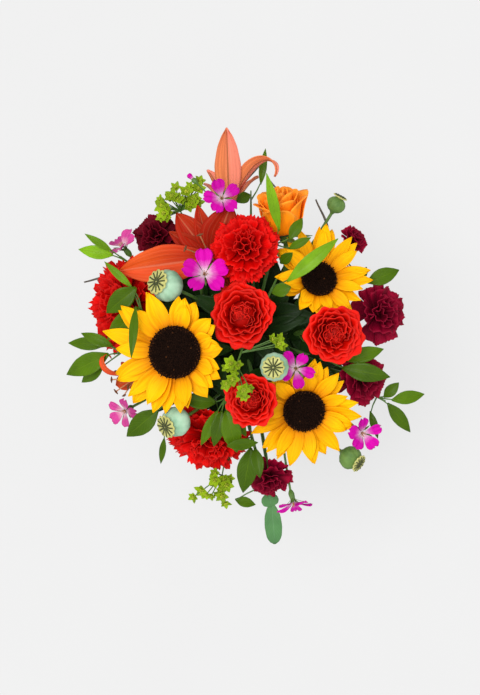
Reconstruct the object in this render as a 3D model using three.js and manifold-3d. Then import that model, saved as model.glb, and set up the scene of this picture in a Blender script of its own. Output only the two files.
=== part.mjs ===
// A hand-tied bouquet of mixed flowers, standing on its splayed, level-cut stems.
//
// Sunflowers, garden roses, carnations, lilies, poppy seed heads, corn cockles and thoroughwax are
// gathered in a spiral, so that every stem slants the same way round past one binding point, where
// twine holds them. Above it the stems open into a dome of blooms; below it they open into a foot.
//
// Millimetres, +Z up. The origin is on the floor, under the middle of the binding. +Y is the side
// that the tall lily points to. Directions round the axis are in degrees from +X, anticlockwise.
import * as THREE from "three";
import { mergeVertices } from "three/addons/utils/BufferGeometryUtils.js";
import Module from "manifold-3d";

const wasm = await Module();
wasm.setup();

// ---------------------------------------------------------------- driving dimensions

const TIE_HEIGHT = 158; // middle of the binding, above the floor
const SPLAY = 3.9; // how many times wider the stems stand at the floor than at the tie
const STEM_GAP = 0.5; // clear space between neighbouring stems in the tie
const TURN_TO_BLOOM = 52; // degrees that a stem turns round the axis from the tie to its bloom
const TWINE = 1.5; // radius of the binding twine
const TWINE_TURNS = 4;
const SEAT = 0.3; // gap between pieces that touch

// Colour and roughness of each kind of tissue.
const TISSUES = {
  sun_yellow: [0xfdb90a, 0.6],
  seed_brown: [0x24100a, 0.9],
  rose_red: [0xe01508, 0.5],
  rose_orange: [0xfb7a14, 0.5],
  carnation_red: [0xc80505, 0.6],
  burgundy: [0x5e0420, 0.6],
  lily_coral: [0xe2501c, 0.5],
  cockle_magenta: [0xd010a0, 0.6],
  leaf_green: [0x35690f, 0.5],
  stem_green: [0x4f7a2a, 0.6],
  lime_green: [0xa3bf1d, 0.6],
  pod_green: [0x8fb08a, 0.7],
  twig_brown: [0x5c5240, 0.9],
  twine_tan: [0xb08d57, 0.95],
};

// Each bloom: where its petals meet its calyx, how far it leans from upright and towards where,
// its turn about its own axis, and its size. A bloom's kind is the first word of its name.
const BLOOMS = {
  sunflower_left: { at: [-69.5, -12, 371], lean: 12, to: 190, spin: 5, size: 26, ray: 34, sweep: 0.4 },
  sunflower_back: { at: [72, 60, 336], lean: 22, to: 60, spin: 9, size: 18, ray: 31, sweep: 0.38 },
  sunflower_front: { at: [57.5, -70, 334], lean: 17, to: 292, spin: 0, size: 21, ray: 34, sweep: 0.12 },
  rose_middle: { at: [-3, 24, 350], lean: 6, to: 120, spin: 0, size: 34 },
  rose_right: { at: [85, 7.5, 354], lean: 14, to: 330, spin: 40, size: 31 },
  rose_low: { at: [6, -60, 370], lean: 12, to: 150, spin: 20, size: 28 },
  highrose_orange: { at: [39, 106, 318], lean: 68, to: 100, spin: 10, size: 29 },
  carnation_top: { at: [-1, 90, 350], lean: 14, to: 95, spin: 0, size: 35 },
  carnation_left: { at: [-115, 35, 294], lean: 46, to: 172, spin: 12, size: 40 },
  carnation_low: { at: [-36, -92, 303], lean: 44, to: 252, spin: 30, size: 38 },
  burgundy_right: { at: [130, 27, 300], lean: 34, to: 8, spin: 0, size: 29 },
  burgundy_small: { at: [106, 100, 300], lean: 56, to: 42, spin: 15, size: 15 },
  burgundy_left: { at: [-89, 103, 293], lean: 22, to: 130, spin: 25, size: 23 },
  burgundy_front: { at: [23, -135, 296], lean: 44, to: 279, spin: 10, size: 23 },
  burgundy_low: { at: [114, -38, 302], lean: 30, to: 345, spin: 10, size: 26 },
  lily_tall: {
    at: [-17, 127, 306], lean: 104, to: 91, spin: 30, size: 90, open: 13,
    breadth: 0.25, inner: [0.6, 0.5, 0.8], outer: [0.5, 1, 0.6],
  },
  lily_open: {
    at: [-34, 82, 323], lean: 6, to: 190, spin: 8, size: 98, open: 44,
    inner: [0.6, 1, 0.3], outer: [0.58, 0.12, 0.26],
  },
  lily_left: {
    at: [-106, -36, 290], lean: 52, to: 200, spin: 20, size: 56, open: 34,
    breadth: 0.32, inner: [0.5, 1, 0.5], outer: [0.7, 0.5, 0.4],
  },
  pod_left: { at: [-68, 50, 350], lean: 42, to: 160, spin: 0, size: 16 },
  pod_right: { at: [87, 129, 300], lean: 76, to: 62, spin: 0, size: 9.5 },
  pod_middle: { at: [29, -26, 376], lean: 6, to: 200, spin: 0, size: 14 },
  pod_low: { at: [-60, -76, 344], lean: 48, to: 207, spin: 0, size: 15 },
  pod_front: { at: [97, -113, 304], lean: 60, to: 326, spin: 0, size: 12 },
  cockle_middle: { at: [-41, 64, 372], lean: 20, to: 60, spin: 19, size: 23 },
  cockle_top: { at: [-24, 140, 352], lean: 10, to: 90, spin: 30, size: 18 },
  cockle_left: { at: [-123, 93, 306], lean: 66, to: 130, spin: 0, size: 19 },
  cockle_pod: { at: [49, -28, 362], lean: 8, to: 300, spin: 60, size: 19 },
  cockle_right: { at: [116, -93, 320], lean: 30, to: 320, spin: 20, size: 18 },
  cockle_pink: { at: [-121, -71, 304], lean: 40, to: 210, spin: 0, size: 17 },
  cockle_front: { at: [48, -163, 290], lean: 72, to: 285, spin: 0, size: 18 },
};

// ---------------------------------------------------------------- small tools

const vec = (x, y, z) => new THREE.Vector3(x, y, z);
const rad = THREE.MathUtils.degToRad;
const UP = vec(0, 0, 1);

// A closed solid from a geometry, with its shared corners merged.
function asSolid(geometry) {
  const bare = new THREE.BufferGeometry();
  const source = geometry.index ? geometry.toNonIndexed() : geometry;
  bare.setAttribute("position", source.getAttribute("position"));
  const merged = mergeVertices(bare, 1e-3);
  const index = merged.index.array;
  const kept = [];
  for (let i = 0; i < index.length; i += 3) {
    const [a, b, c] = [index[i], index[i + 1], index[i + 2]];
    if (a !== b && b !== c && c !== a) kept.push(a, b, c);
  }
  const vertProperties = merged.attributes.position.array;
  return new wasm.Manifold(new wasm.Mesh({ numProp: 3, vertProperties, triVerts: new Uint32Array(kept) }));
}

function asGeometry(solid) {
  const mesh = solid.getMesh();
  const geometry = new THREE.BufferGeometry();
  geometry.setAttribute("position", new THREE.BufferAttribute(new Float32Array(mesh.vertProperties), 3));
  geometry.setIndex(new THREE.BufferAttribute(mesh.triVerts, 1));
  return geometry;
}

// The unit vector that leans from upright by `lean`, towards `to`.
const leaning = (lean, to) => vec(Math.sin(rad(lean)), 0, Math.cos(rad(lean))).applyAxisAngle(UP, rad(to));

// The matrix that stands a bloom, whose own axis is +Z, in its place in the bouquet.
function stance({ at, lean, to, spin }) {
  const turn = new THREE.Quaternion().setFromUnitVectors(UP, leaning(lean, to));
  const own = new THREE.Quaternion().setFromAxisAngle(UP, rad(spin));
  return new THREE.Matrix4().compose(vec(...at), turn.multiply(own), vec(1, 1, 1));
}

// ---------------------------------------------------------------- building blocks

// The rows of a thin blade that grows along +X from the origin with its face to +Z. It leaves at
// `lift` degrees above the horizontal and bends up by `curl` degrees over its length. Each row of
// `outline` is [share of length, share of width]. `cup` raises both edges, `tilt` raises one and
// lowers the other, `ruffle` waves the blade, and `teeth` sets the end's columns back by shares of
// the length.
function blade({ length, width, lift, curl, outline, cup = 0, tilt = 0, ruffle = 0, teeth }) {
  const cols = teeth ? teeth.length : 3;
  const start = rad(lift);
  const bend = rad(curl);
  const arc = (t) =>
    vec(Math.sin(start + bend * t) - Math.sin(start), 0, Math.cos(start) - Math.cos(start + bend * t))
      .multiplyScalar(length / bend);
  return outline.map(([share, w], i) =>
    Array.from({ length: cols }, (_, j) => {
      const across = (2 * j) / (cols - 1) - 1;
      const t = teeth && i === outline.length - 1 ? share - teeth[j] : share;
      const wave = ruffle * share * (j % 2 ? 1 : -1);
      const rise = width * w * (cup * across * across + (tilt * across) / 2 + wave);
      const outward = vec(-Math.sin(start + bend * t), 0, Math.cos(start + bend * t));
      return arc(t).add(vec(0, (across * w * width) / 2, 0)).addScaledVector(outward, rise);
    }),
  );
}

// The surface of a blade of some thickness round a grid of points, grid[row][column], with knife
// edges along its sides and end. It stays open at its root, where it starts from the points
// `above` and `below` the middle of row 0.
function bladeSurface(grid, thick, above, below) {
  const rows = grid.length;
  const cols = grid[0].length;
  const edge = (i, j) => j === 0 || j === cols - 1 || i === rows - 1;
  const face = (half, root) =>
    grid.map((row, i) =>
      row.map((p, j) => {
        if (edge(i, j)) return p;
        if (i === 0) return root;
        const along = grid[i + 1][j].clone().sub(grid[i - 1][j]);
        const across = row[j + 1].clone().sub(row[j - 1]);
        return along.cross(across).setLength(half).add(p);
      }),
    );
  const top = face(thick / 2, above);
  const bottom = face(-thick / 2, below);
  const corners = [];
  const add = (...triangle) => {
    const [a, b, c] = triangle;
    if (a !== b && b !== c && c !== a && a.distanceTo(b) * b.distanceTo(c) * c.distanceTo(a) > 0)
      corners.push(a, b, c);
  };
  for (let i = 0; i < rows - 1; i++)
    for (let j = 0; j < cols - 1; j++) {
      const [a, b, c, d] = [top[i][j], top[i][j + 1], top[i + 1][j + 1], top[i + 1][j]];
      const [e, f, g, h] = [bottom[i][j], bottom[i][j + 1], bottom[i + 1][j + 1], bottom[i + 1][j]];
      if (!edge(i + 1, j + 1) || (edge(i + 1, j) && edge(i, j + 1))) {
        add(a, d, c);
        add(a, c, b);
        add(e, g, h);
        add(e, f, g);
      } else {
        add(a, d, b);
        add(b, d, c);
        add(e, f, h);
        add(f, g, h);
      }
    }
  return corners;
}

// A bloom's petals and core in one closed surface. The core is a stack of rings of n points, given
// as [radius, height], each turned half a step from the ring below, so that its facets are
// diamonds. Every ring but the first and last carries a whorl, and each of its petals grows out of
// the diamond between two neighbours in that ring and the points above and below their middle.
function head(n, rings, whorls) {
  const step = (2 * Math.PI) / n;
  const ringPoints = rings.map(([r, z], m) =>
    Array.from({ length: n }, (_, k) => {
      const turn = (k + (m % 2) / 2) * step;
      return vec(r * Math.cos(turn), r * Math.sin(turn), z);
    }),
  );
  const point = (m, k) => ringPoints[m][k % n];
  const between = (m, k) => k + (m % 2); // index, in the rings next to m, of the point between k and k + 1
  const corners = [];
  whorls.forEach((whorl, i) => {
    const m = i + 1;
    for (let k = 0; k < n; k++) {
      const [right, left] = [point(m, k), point(m, k + 1)];
      const foot = right.clone().add(left).multiplyScalar(0.5);
      const length = whorl.length * (whorl.shares?.[k] ?? (k % 2 ? 1 : whorl.vary ?? 1));
      const rows = blade({ ...whorl, length }).map((row) =>
        row.map((p) => p.applyAxisAngle(UP, (k + 0.5 + (m % 2) / 2) * step).add(foot)),
      );
      const above = point(m + 1, between(m, k));
      const below = point(m - 1, between(m, k));
      const root = rows[0].map((_, j) => (j === 0 ? right : j === rows[0].length - 1 ? left : foot));
      corners.push(...bladeSurface([root, ...rows], whorl.thick ?? 1.1, above, below));
    }
  });
  const top = rings.length - 1;
  for (let k = 0; k < n; k++) {
    corners.push(point(0, k), point(0, k + 1), point(1, between(0, k)));
    corners.push(point(top, k + 1), point(top, k), point(top - 1, between(top, k)));
    if (k === 0 || k === n - 1) continue;
    corners.push(point(0, 0), point(0, k + 1), point(0, k));
    corners.push(point(top, 0), point(top, k), point(top, k + 1));
  }
  return new THREE.BufferGeometry().setFromPoints(corners);
}

// Outlines of blades beyond their root, as [share of length, share of width].
const RAY = [[0.35, 1], [0.72, 0.8], [1, 0]];
const SHORT_RAY = [[0.45, 1], [1, 0]];
const ROUNDED = [[0.5, 0.95], [0.84, 0.8], [1, 0]];
const TEPAL = [[0.28, 0.7], [0.58, 1], [0.84, 0.62], [1, 0]];
const FAN = [[0.6, 0.72], [1, 1]];

// A solid of revolution about +Z from [radius, height] points, bottom to top, closed on the axis.
function revolved(profile, sides) {
  const closed = [[0, profile[0][1]], ...profile, [0, profile.at(-1)[1]]];
  const points = closed.map(([r, z]) => new THREE.Vector2(r, z));
  return new THREE.LatheGeometry(points, sides).rotateX(Math.PI / 2);
}

// A path straight from joint to joint, whose sections stand at the joints.
class JointedPath extends THREE.Curve {
  constructor(joints) {
    super();
    this.joints = joints;
  }

  getPointAt(u) {
    return this.joints[Math.round(u * (this.joints.length - 1))].clone();
  }

  getTangentAt(u) {
    const i = Math.round(u * (this.joints.length - 1));
    const before = this.joints[Math.max(i - 1, 0)];
    const after = this.joints[Math.min(i + 1, this.joints.length - 1)];
    return after.clone().sub(before).normalize();
  }
}

// A round stem along a curve.
function rod(curve, radius, sides, steps) {
  const section = new THREE.Shape();
  for (let k = 0; k < sides; k++) {
    const a = (2 * Math.PI * k) / sides;
    if (k === 0) section.moveTo(radius, 0);
    else section.lineTo(radius * Math.cos(a), radius * Math.sin(a));
  }
  section.closePath();
  return new THREE.ExtrudeGeometry(section, { steps, extrudePath: curve, bevelEnabled: false });
}

// ---------------------------------------------------------------- blooms, in their own frames
//
// Each gives its parts by name, with their tissue, and its calyx, which is fused to the stem. The
// origin is where the petals meet the calyx, which ends on the axis at z = -foot.

// A sunflower's rays are longer by the share `sweep` on the side that it leans to, and shorter by as
// much on the other.
function sunflower({ size, ray, sweep, spin, to }) {
  const n = 13;
  const rim = size + 1;
  const swept = (whorl, vary) =>
    Array.from({ length: n }, (_, k) => {
      const turn = (360 * (k + 1 - whorl / 2)) / n + spin - to;
      return (k % 2 ? 1 : vary) * (1 + sweep * Math.cos(rad(turn)));
    });
  const shared = { cup: 0.1, width: size * 0.48 };
  const rays = [
    { ...shared, length: ray * 1.03, shares: swept(0, 0.93), lift: 12, curl: -14, outline: SHORT_RAY },
    { ...shared, length: ray * 0.94, shares: swept(1, 0.88), lift: 34, curl: -18, outline: RAY },
  ];
  const petals = head(n, [[rim - 3, -1.6], [rim, -0.7], [rim, 0.6], [rim - 2, 1.2]], rays);
  return {
    parts: { petals: [petals, "sun_yellow"], disc: [seedDisc(size), "seed_brown"] },
    calyx: bractedBase(size),
    foot: 15,
  };
}

// The dark disc: a low dome, dished in the middle, with its florets as relief in crossing spirals.
function seedDisc(radius) {
  const rings = 4;
  const sides = 16;
  const base = 1.2 + SEAT;
  const height = (share) => base + 2.5 + 7 * share * (1.2 - share);
  const steps = Array.from({ length: rings }, (_, i) => 0.94 - 0.26 * i);
  const disc = revolved([[radius * 0.8, base], ...steps.map((s) => [radius * s, height(s)])], sides);
  const points = disc.attributes.position;
  for (let i = 0; i < points.count; i++) {
    const share = Math.hypot(points.getX(i), points.getY(i)) / radius;
    if (share < 0.05 || points.getZ(i) < base + 1) continue;
    const turn = Math.round((Math.atan2(points.getY(i), points.getX(i)) / (2 * Math.PI)) * sides);
    const floret = (Math.abs(turn) + Math.round(share * rings)) % 2 ? 0.8 : -0.5;
    points.setZ(i, points.getZ(i) + floret);
  }
  return disc;
}

// The green cup under a sunflower, with a ring of pointed bracts.
function bractedBase(size) {
  const top = -1.6 - SEAT;
  const bracts = { length: size * 0.9, width: size * 0.62, lift: -2, curl: 14, outline: SHORT_RAY };
  return head(6, [[4, -15], [size * 0.52, -8], [size * 0.6, top]], [bracts]);
}

// A garden rose, open and full, with a folded heart.
function rose({ size }) {
  const shared = { cup: 0.16, tilt: 0.3, outline: ROUNDED, vary: 0.94 };
  const petals = [
    { ...shared, length: size * 0.86, width: size * 0.95, lift: 4, curl: 40 },
    { ...shared, length: size * 0.78, width: size * 0.74, lift: 24, curl: 42 },
    { ...shared, length: size * 0.64, width: size * 0.56, lift: 44, curl: 34 },
    { ...shared, length: size * 0.5, width: size * 0.36, lift: 62, curl: 26 },
  ];
  const core = [[0.14, 0], [0.24, 0.06], [0.28, 0.16], [0.26, 0.28], [0.2, 0.4], [0.1, 0.46]];
  const bloom = head(5, core.map(([r, z]) => [size * r, size * z]), petals);
  return { parts: { bloom: [bloom, "rose_red"] }, calyx: sepalCup(size * 0.2, size * 0.5), foot: 9 };
}

// A high-centred rose: taller than wide, petals close together, and only their rims rolled out.
function highrose({ size }) {
  const shared = { cup: 0.16, tilt: 0.34, outline: ROUNDED, vary: 0.96 };
  const petals = [
    { ...shared, length: size * 1.92, width: size * 0.96, lift: 75, curl: -38 },
    { ...shared, length: size * 1.78, width: size * 0.6, lift: 83, curl: -20 },
    { ...shared, length: size * 1.55, width: size * 0.32, lift: 88, curl: -6 },
  ];
  const core = [[0.12, 0], [0.28, 0.08], [0.24, 0.24], [0.18, 0.42], [0.08, 0.56]];
  const bloom = head(5, core.map(([r, z]) => [size * r, size * z]), petals);
  return { parts: { bloom: [bloom, "rose_orange"] }, calyx: sepalCup(size * 0.2, size * 0.8), foot: 9 };
}

// A rose's hip, with its five sepals hanging out under the petals.
function sepalCup(radius, sepal) {
  const sepals = { length: sepal, width: 8, lift: -42, curl: 30, outline: SHORT_RAY };
  return head(5, [[2.2, -9], [radius, -5], [radius * 0.85, -SEAT]], [sepals]);
}

// A carnation: fans of toothed, ruffled petals round a small core, out of a long green tube.
function carnation({ size }) {
  const fans = [
    { reach: 1, lift: 2, curl: 14 },
    { reach: 0.86, lift: 26, curl: 10 },
    { reach: 0.58, lift: 50, curl: 8 },
  ];
  return pinkHead(size, 6, fans, [0.13, 0, 0.13, 0], "carnation_red");
}

// A burgundy pink: as a carnation, with fewer and narrower fans.
function burgundy({ size }) {
  const fans = [
    { reach: 1, lift: 8, curl: 20 },
    { reach: 0.72, lift: 42, curl: 14 },
  ];
  return pinkHead(size, 5, fans, [0.14, 0, 0.14, 0], "burgundy");
}

// Each fan's `reach` is how far out it gets, so that neighbours in one fan meet edge to edge.
function pinkHead(size, n, fans, teeth, tissue) {
  const rings = [[0.1, 0], ...fans.map((_, i) => [0.2, 0.1 + 0.11 * i]), [0.1, 0.12 + 0.11 * fans.length]];
  const whorls = fans.map(({ reach, lift, curl }) => ({
    length: (size * (reach - 0.17)) / Math.cos(rad(lift + curl / 2)),
    vary: 0.92,
    width: (2 * Math.PI * size * reach) / n,
    lift,
    curl,
    tilt: 0.24,
    ruffle: 0.07,
    teeth,
    outline: FAN,
    thick: 1.3,
  }));
  const bloom = head(n, rings.map(([r, z]) => [size * r, size * z]), whorls);
  const depth = size * 0.75;
  const tube = [[1.9, -depth], [size * 0.12, -depth * 0.8], [size * 0.11, -SEAT]];
  return { parts: { bloom: [bloom, tissue] }, calyx: revolved(tube, 6), foot: depth };
}

// A lily: three outer and three broader inner tepals, recurving from a narrow throat, and leaning
// further out the larger `open` is. `inner` and `outer` shorten tepals that others crowd, and
// `breadth` is the width of the inner ones as a share of their length.
function lily({ size, open, inner, outer, breadth = 0.46 }) {
  const shared = { curl: -1.2 * open - 20, cup: 0.12, outline: TEPAL, thick: 1.4 };
  const tepals = [
    { ...shared, length: size, shares: outer, width: size * 0.32, lift: 84 - 1.2 * open },
    { ...shared, length: size * 0.96, shares: inner, width: size * breadth, lift: 90 - 1.2 * open },
  ];
  const bloom = head(3, [[2.5, 0], [5.5, 2.5], [3.2, 7], [1.2, 13]], tepals);
  return { parts: { bloom: [bloom, "lily_coral"] }, calyx: revolved([[1.8, -6], [3, -SEAT]], 6), foot: 6 };
}

// A ripe poppy capsule: ribbed, narrow at its neck, under a flat crown with a ray to each rib.
function pod({ size }) {
  const ribs = 8;
  const outline = [[0.2, -0.1], [0.82, 0.4], [1, 1], [0.7, 1.6], [0.36, 1.82], [0.74, 1.9], [0.3, 2.04]];
  const capsule = revolved(outline.map(([r, z]) => [size * r, size * z]), 2 * ribs);
  const points = capsule.attributes.position;
  for (let i = 0; i < points.count; i++) {
    const turn = Math.round((Math.atan2(points.getY(i), points.getX(i)) * ribs) / Math.PI);
    const groove = points.getZ(i) > size * 1.85 ? 0.76 : 0.94;
    const narrow = turn % 2 ? groove : 1;
    points.setXYZ(i, points.getX(i) * narrow, points.getY(i) * narrow, points.getZ(i));
  }
  return { parts: {}, calyx: capsule, foot: size * 0.1 };
}

// A corn cockle: five broad petals, each notched at its end, out of a slim calyx.
function cockle({ size }) {
  const petals = {
    length: size * 0.95,
    width: size * 0.86,
    lift: 34,
    curl: -26,
    tilt: 0.2,
    teeth: [0.06, 0.16, 0.06],
    outline: FAN,
  };
  const bloom = head(5, [[1, 0], [2.2, 1.4], [1.2, 4]], [petals]);
  const calyx = revolved([[1, -12], [2.8, -8], [1.8, -SEAT]], 5);
  return { parts: { bloom: [bloom, "cockle_magenta"] }, calyx, foot: 12 };
}

const KINDS = { sunflower, rose, highrose, carnation, burgundy, lily, pod, cockle };

// A star of round bracts about a tiny umbel, on its own stalk.
function waxStar(size, stalk) {
  const bracts = { length: size * 0.85, width: size * 0.8, lift: 22, curl: 14, outline: SHORT_RAY };
  return head(4, [[0.6, -stalk], [1.2, 0], [0.8, 1.8]], [{ ...bracts, thick: 0.9 }]);
}

// ---------------------------------------------------------------- the plants that carry them

// Each plant is one stem through the tie, of the given radius. Its main shoot ends at its first
// bloom, or at the first place in `reach`, and its other blooms and places have forks of their own.
// A place may end with the lean and direction that its shoot takes there. Each leaf is [where its
// blade begins, its tip, its width], on a stalk from the nearest shoot, and each of `stars` is
// where a star of bracts stands.
const PLANTS = {
  sunflower_left: { radius: 4.2, blooms: ["sunflower_left"] },
  sunflower_back: { radius: 3.8, blooms: ["sunflower_back"] },
  sunflower_front: { radius: 3.8, blooms: ["sunflower_front"] },
  rose_spray: { radius: 2.8, blooms: ["rose_middle", "rose_low"] },
  rose_right: { radius: 2.8, blooms: ["rose_right"] },
  highrose_orange: { radius: 2.8, blooms: ["highrose_orange"] },
  carnation_top: { radius: 2.2, blooms: ["carnation_top"] },
  carnation_left: { radius: 2.2, blooms: ["carnation_left"] },
  carnation_low: { radius: 2.2, blooms: ["carnation_low"] },
  burgundy_right: {
    radius: 1.9,
    blooms: ["burgundy_right", "burgundy_small"],
    leaves: [
      [[122, 58, 308], [155, 71, 300], 17],
      [[114, 60, 306], [122, 74, 304], 9],
    ],
  },
  burgundy_left: { radius: 1.9, blooms: ["burgundy_left"] },
  burgundy_low: { radius: 1.9, blooms: ["burgundy_low"] },
  burgundy_front: { radius: 1.9, blooms: ["burgundy_front"] },
  lily_tall: { radius: 3.2, blooms: ["lily_open", "lily_tall"] },
  lily_left: { radius: 2.6, blooms: ["lily_left"] },
  pod_left: { radius: 1.6, blooms: ["pod_left"] },
  pod_right: { radius: 1.6, blooms: ["pod_right"] },
  pod_middle: { radius: 1.6, blooms: ["pod_middle"] },
  pod_low: { radius: 1.6, blooms: ["pod_low"] },
  pod_front: { radius: 1.6, blooms: ["pod_front"] },
  cockle_upper: { radius: 1.6, blooms: ["cockle_middle", "cockle_top", "cockle_left"] },
  cockle_lower: { radius: 1.6, blooms: ["cockle_pod", "cockle_right", "cockle_front"] },
  cockle_pink: { radius: 1.4, blooms: ["cockle_pink"] },
  leafy_left: {
    radius: 2.2,
    reach: [[-110, 26, 352], [-134, -14, 312], [-126, 84, 322, 30, 160]],
    leaves: [
      [[-109, 52, 352], [-139, 27, 340], 22],
      [[-106, 32, 354], [-138, 0, 338], 20],
      [[-108, 33, 384], [-112, -18, 396], 9],
      [[-113, 52, 350], [-141, 78, 344], 8],
      [[-133, 85, 326], [-168, 91, 322], 14],
      [[-134, 89, 330], [-161, 106, 334], 8],
      [[-138, -14, 312], [-182, -35, 290], 22],
      [[-140, -4, 308], [-180, -3, 296], 14],
      [[-134, -6, 318], [-166, 7, 312], 12],
      [[-144, -26, 304], [-167, -43, 284], 13],
    ],
  },
  leafy_front: {
    radius: 2.2,
    reach: [[-23, -64, 344], [-84, -66, 330], [6, -104, 318], [20, -158, 266]],
    leaves: [
      [[-28, -70, 346], [-45, -105, 340], 12],
      [[-24, -70, 350], [-32, -106, 344], 14],
      [[-20, -70, 352], [-9, -112, 341], 20],
      [[-18, -64, 346], [0, -96, 338], 15],
      [[-30, -62, 352], [-64, -58, 360], 17],
      [[-19, -105, 354], [12, -102, 343], 12],
      [[5, -108, 322], [-3, -154, 306], 21],
      [[9, -108, 326], [14, -138, 330], 13],
      [[-88, -70, 328], [-120, -97, 312], 22],
      [[-92, -60, 336], [-72, -52, 346], 10],
      [[-82, -98, 318], [-86, -125, 304], 7],
      [[26, -166, 266], [30, -210, 250], 18],
      [[23, -156, 270], [26, -170, 266], 18],
      [[-11, -163, 264], [10, -169, 260], 11],
    ],
  },
  leafy_right: {
    radius: 2.2,
    reach: [[92, -24, 322], [142, -62, 286]],
    leaves: [
      [[99, -20, 326], [138, -9, 324], 16],
      [[96, -28, 336], [144, -37, 334], 19],
      [[140, -58, 292], [155, -43, 296], 12],
      [[148, -61, 288], [182, -55, 280], 14],
      [[144, -64, 286], [168, -94, 274], 14],
      [[126, -72, 292], [134, -100, 290], 8],
    ],
  },
  leafy_top: {
    radius: 2.2,
    reach: [[30, 60, 354], [31, 104, 346], [5, 151, 304]],
    leaves: [
      [[40, 57, 388], [90, 99, 390], 15],
      [[44, 52, 378], [25, 46, 370], 14],
      [[34, 76, 352], [46, 86, 366], 11],
      [[42, 90, 362], [64, 101, 368], 9],
      [[43, 100, 352], [56, 121, 348], 12],
      [[33, 108, 356], [20, 164, 376], 11],
      [[4, 146, 320], [-10, 138, 328], 12],
      [[15, 158, 286], [20, 195, 284], 8],
    ],
  },
  wax_upper: {
    radius: 1.6,
    tissue: "lime_green",
    reach: [[-70, 138, 314]],
    stars: [
      [-84, 134, 326], [-82, 127, 328], [-74, 144, 328], [-60, 148, 328], [-54, 138, 326], [-48, 151, 326],
    ],
  },
  wax_lower: {
    radius: 1.6,
    tissue: "lime_green",
    reach: [[-12, -31, 378], [-26, -148, 292]],
    stars: [
      [-15, -23, 392], [-13, -38, 400], [-3, -48, 406], [31, -4, 364],
      [-31, -141, 300], [-20, -146, 302], [-24, -157, 298], [-44, -152, 296],
    ],
  },
  bare_twig_left: {
    radius: 2,
    tissue: "twig_brown",
    reach: [[-165, 59, 280, 94, 214], [15, 179, 276, 90, 34]],
  },
  bare_twig_right: {
    radius: 2,
    tissue: "twig_brown",
    reach: [[71, 143, 286, 92, 158], [21, 167, 286, 80, 150]],
  },
};

const BRANCH = 0.75; // how thick a fork is, as a share of its stem
const STRAIGHT = 26; // how far the stems run straight on above the tie
const APPROACH = 60; // how far below its end a main stem already points to it
const LEAF_LEAN = 60; // how far a leafy shoot leans out at its end
const MAIN_PIECES = 5; // straight pieces along the bent part of a main stem
const FORK_PIECES = 4; // and along a fork
const SHOOT_GAP = 0.8; // clear space between the shoots of different plants
const EASING_ROUNDS = 80;
const FORK_JOINTS = [2, 3, 4]; // joints of the main shoot that its forks leave from, in turn
const THICK = 3.5; // stems of a larger radius have a rounder section

// The ends of a plant's shoots: where each stops, and the way it faces there.
function shootEnds({ blooms = [], reach = [] }) {
  const heads = blooms.map((name) => {
    const { at, lean, to } = BLOOMS[name];
    const facing = leaning(lean, to);
    return { point: vec(...at).addScaledVector(facing, -built[name].foot), facing };
  });
  const bare = reach.map(([x, y, z, lean = LEAF_LEAN, to]) => {
    const outward = THREE.MathUtils.radToDeg(Math.atan2(y, x));
    return { point: vec(x, y, z), facing: leaning(lean, to ?? outward) };
  });
  return [...heads, ...bare];
}

// Where each stem passes through the tie: in the direction of its bloom less the spiral's turn,
// and packed round the axis without touching.
function packTie(plants) {
  const slots = Object.entries(plants).map(([name, { radius, ends }]) => {
    const under = ends[0].point.clone().addScaledVector(ends[0].facing, -APPROACH).setZ(0);
    return { name, radius, spot: under.applyAxisAngle(UP, -rad(TURN_TO_BLOOM)).multiplyScalar(0.2) };
  });
  for (let round = 0; round < 400; round++) {
    for (const slot of slots) slot.spot.multiplyScalar(0.985);
    for (let pass = 0; pass < 6; pass++)
      for (const a of slots)
        for (const b of slots) {
          if (a === b) continue;
          const apart = a.spot.clone().sub(b.spot);
          const short = a.radius + b.radius + STEM_GAP - apart.length();
          if (short <= 0) continue;
          apart.setLength(short / 2);
          a.spot.add(apart);
          b.spot.sub(apart);
        }
  }
  return Object.fromEntries(slots.map(({ name, spot }) => [name, spot]));
}

// Stems are straight from the floor to just over the tie. Each slants past the axis, at a slope
// that grows with its distance from it, so that they stand clear of each other all the way.
const SLOPE = Math.sqrt(SPLAY * SPLAY - 1) / TIE_HEIGHT;
const slant = (slot) => vec(-slot.y, slot.x, 0).multiplyScalar(SLOPE).add(UP).normalize();

// A smooth way from one point and direction to a shoot's end, as joints after the first point.
function swing(from, way, end, pieces) {
  const span = from.distanceTo(end.point);
  const curve = new THREE.CubicBezierCurve3(
    from,
    from.clone().addScaledVector(way, span * 0.36),
    end.point.clone().addScaledVector(end.facing, -span * 0.32),
    end.point,
  );
  return curve.getSpacedPoints(pieces).slice(1);
}

// A plant's main shoot, from below the floor to the first of its ends.
function mainShoot(slot, end) {
  const way = slant(slot);
  const start = vec(slot.x, slot.y, TIE_HEIGHT);
  const floor = start.clone().addScaledVector(way, -(TIE_HEIGHT + 4) / way.z);
  const bend = start.clone().addScaledVector(way, STRAIGHT);
  return [floor, bend, ...swing(bend, way, end, MAIN_PIECES)];
}

// A fork shares the joint of the main shoot that it leaves from.
function forkShoot(main, joint, end) {
  const way = main[joint + 1].clone().sub(main[joint - 1]).normalize();
  return [main[joint], ...swing(main[joint], way, end, FORK_PIECES)];
}

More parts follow.
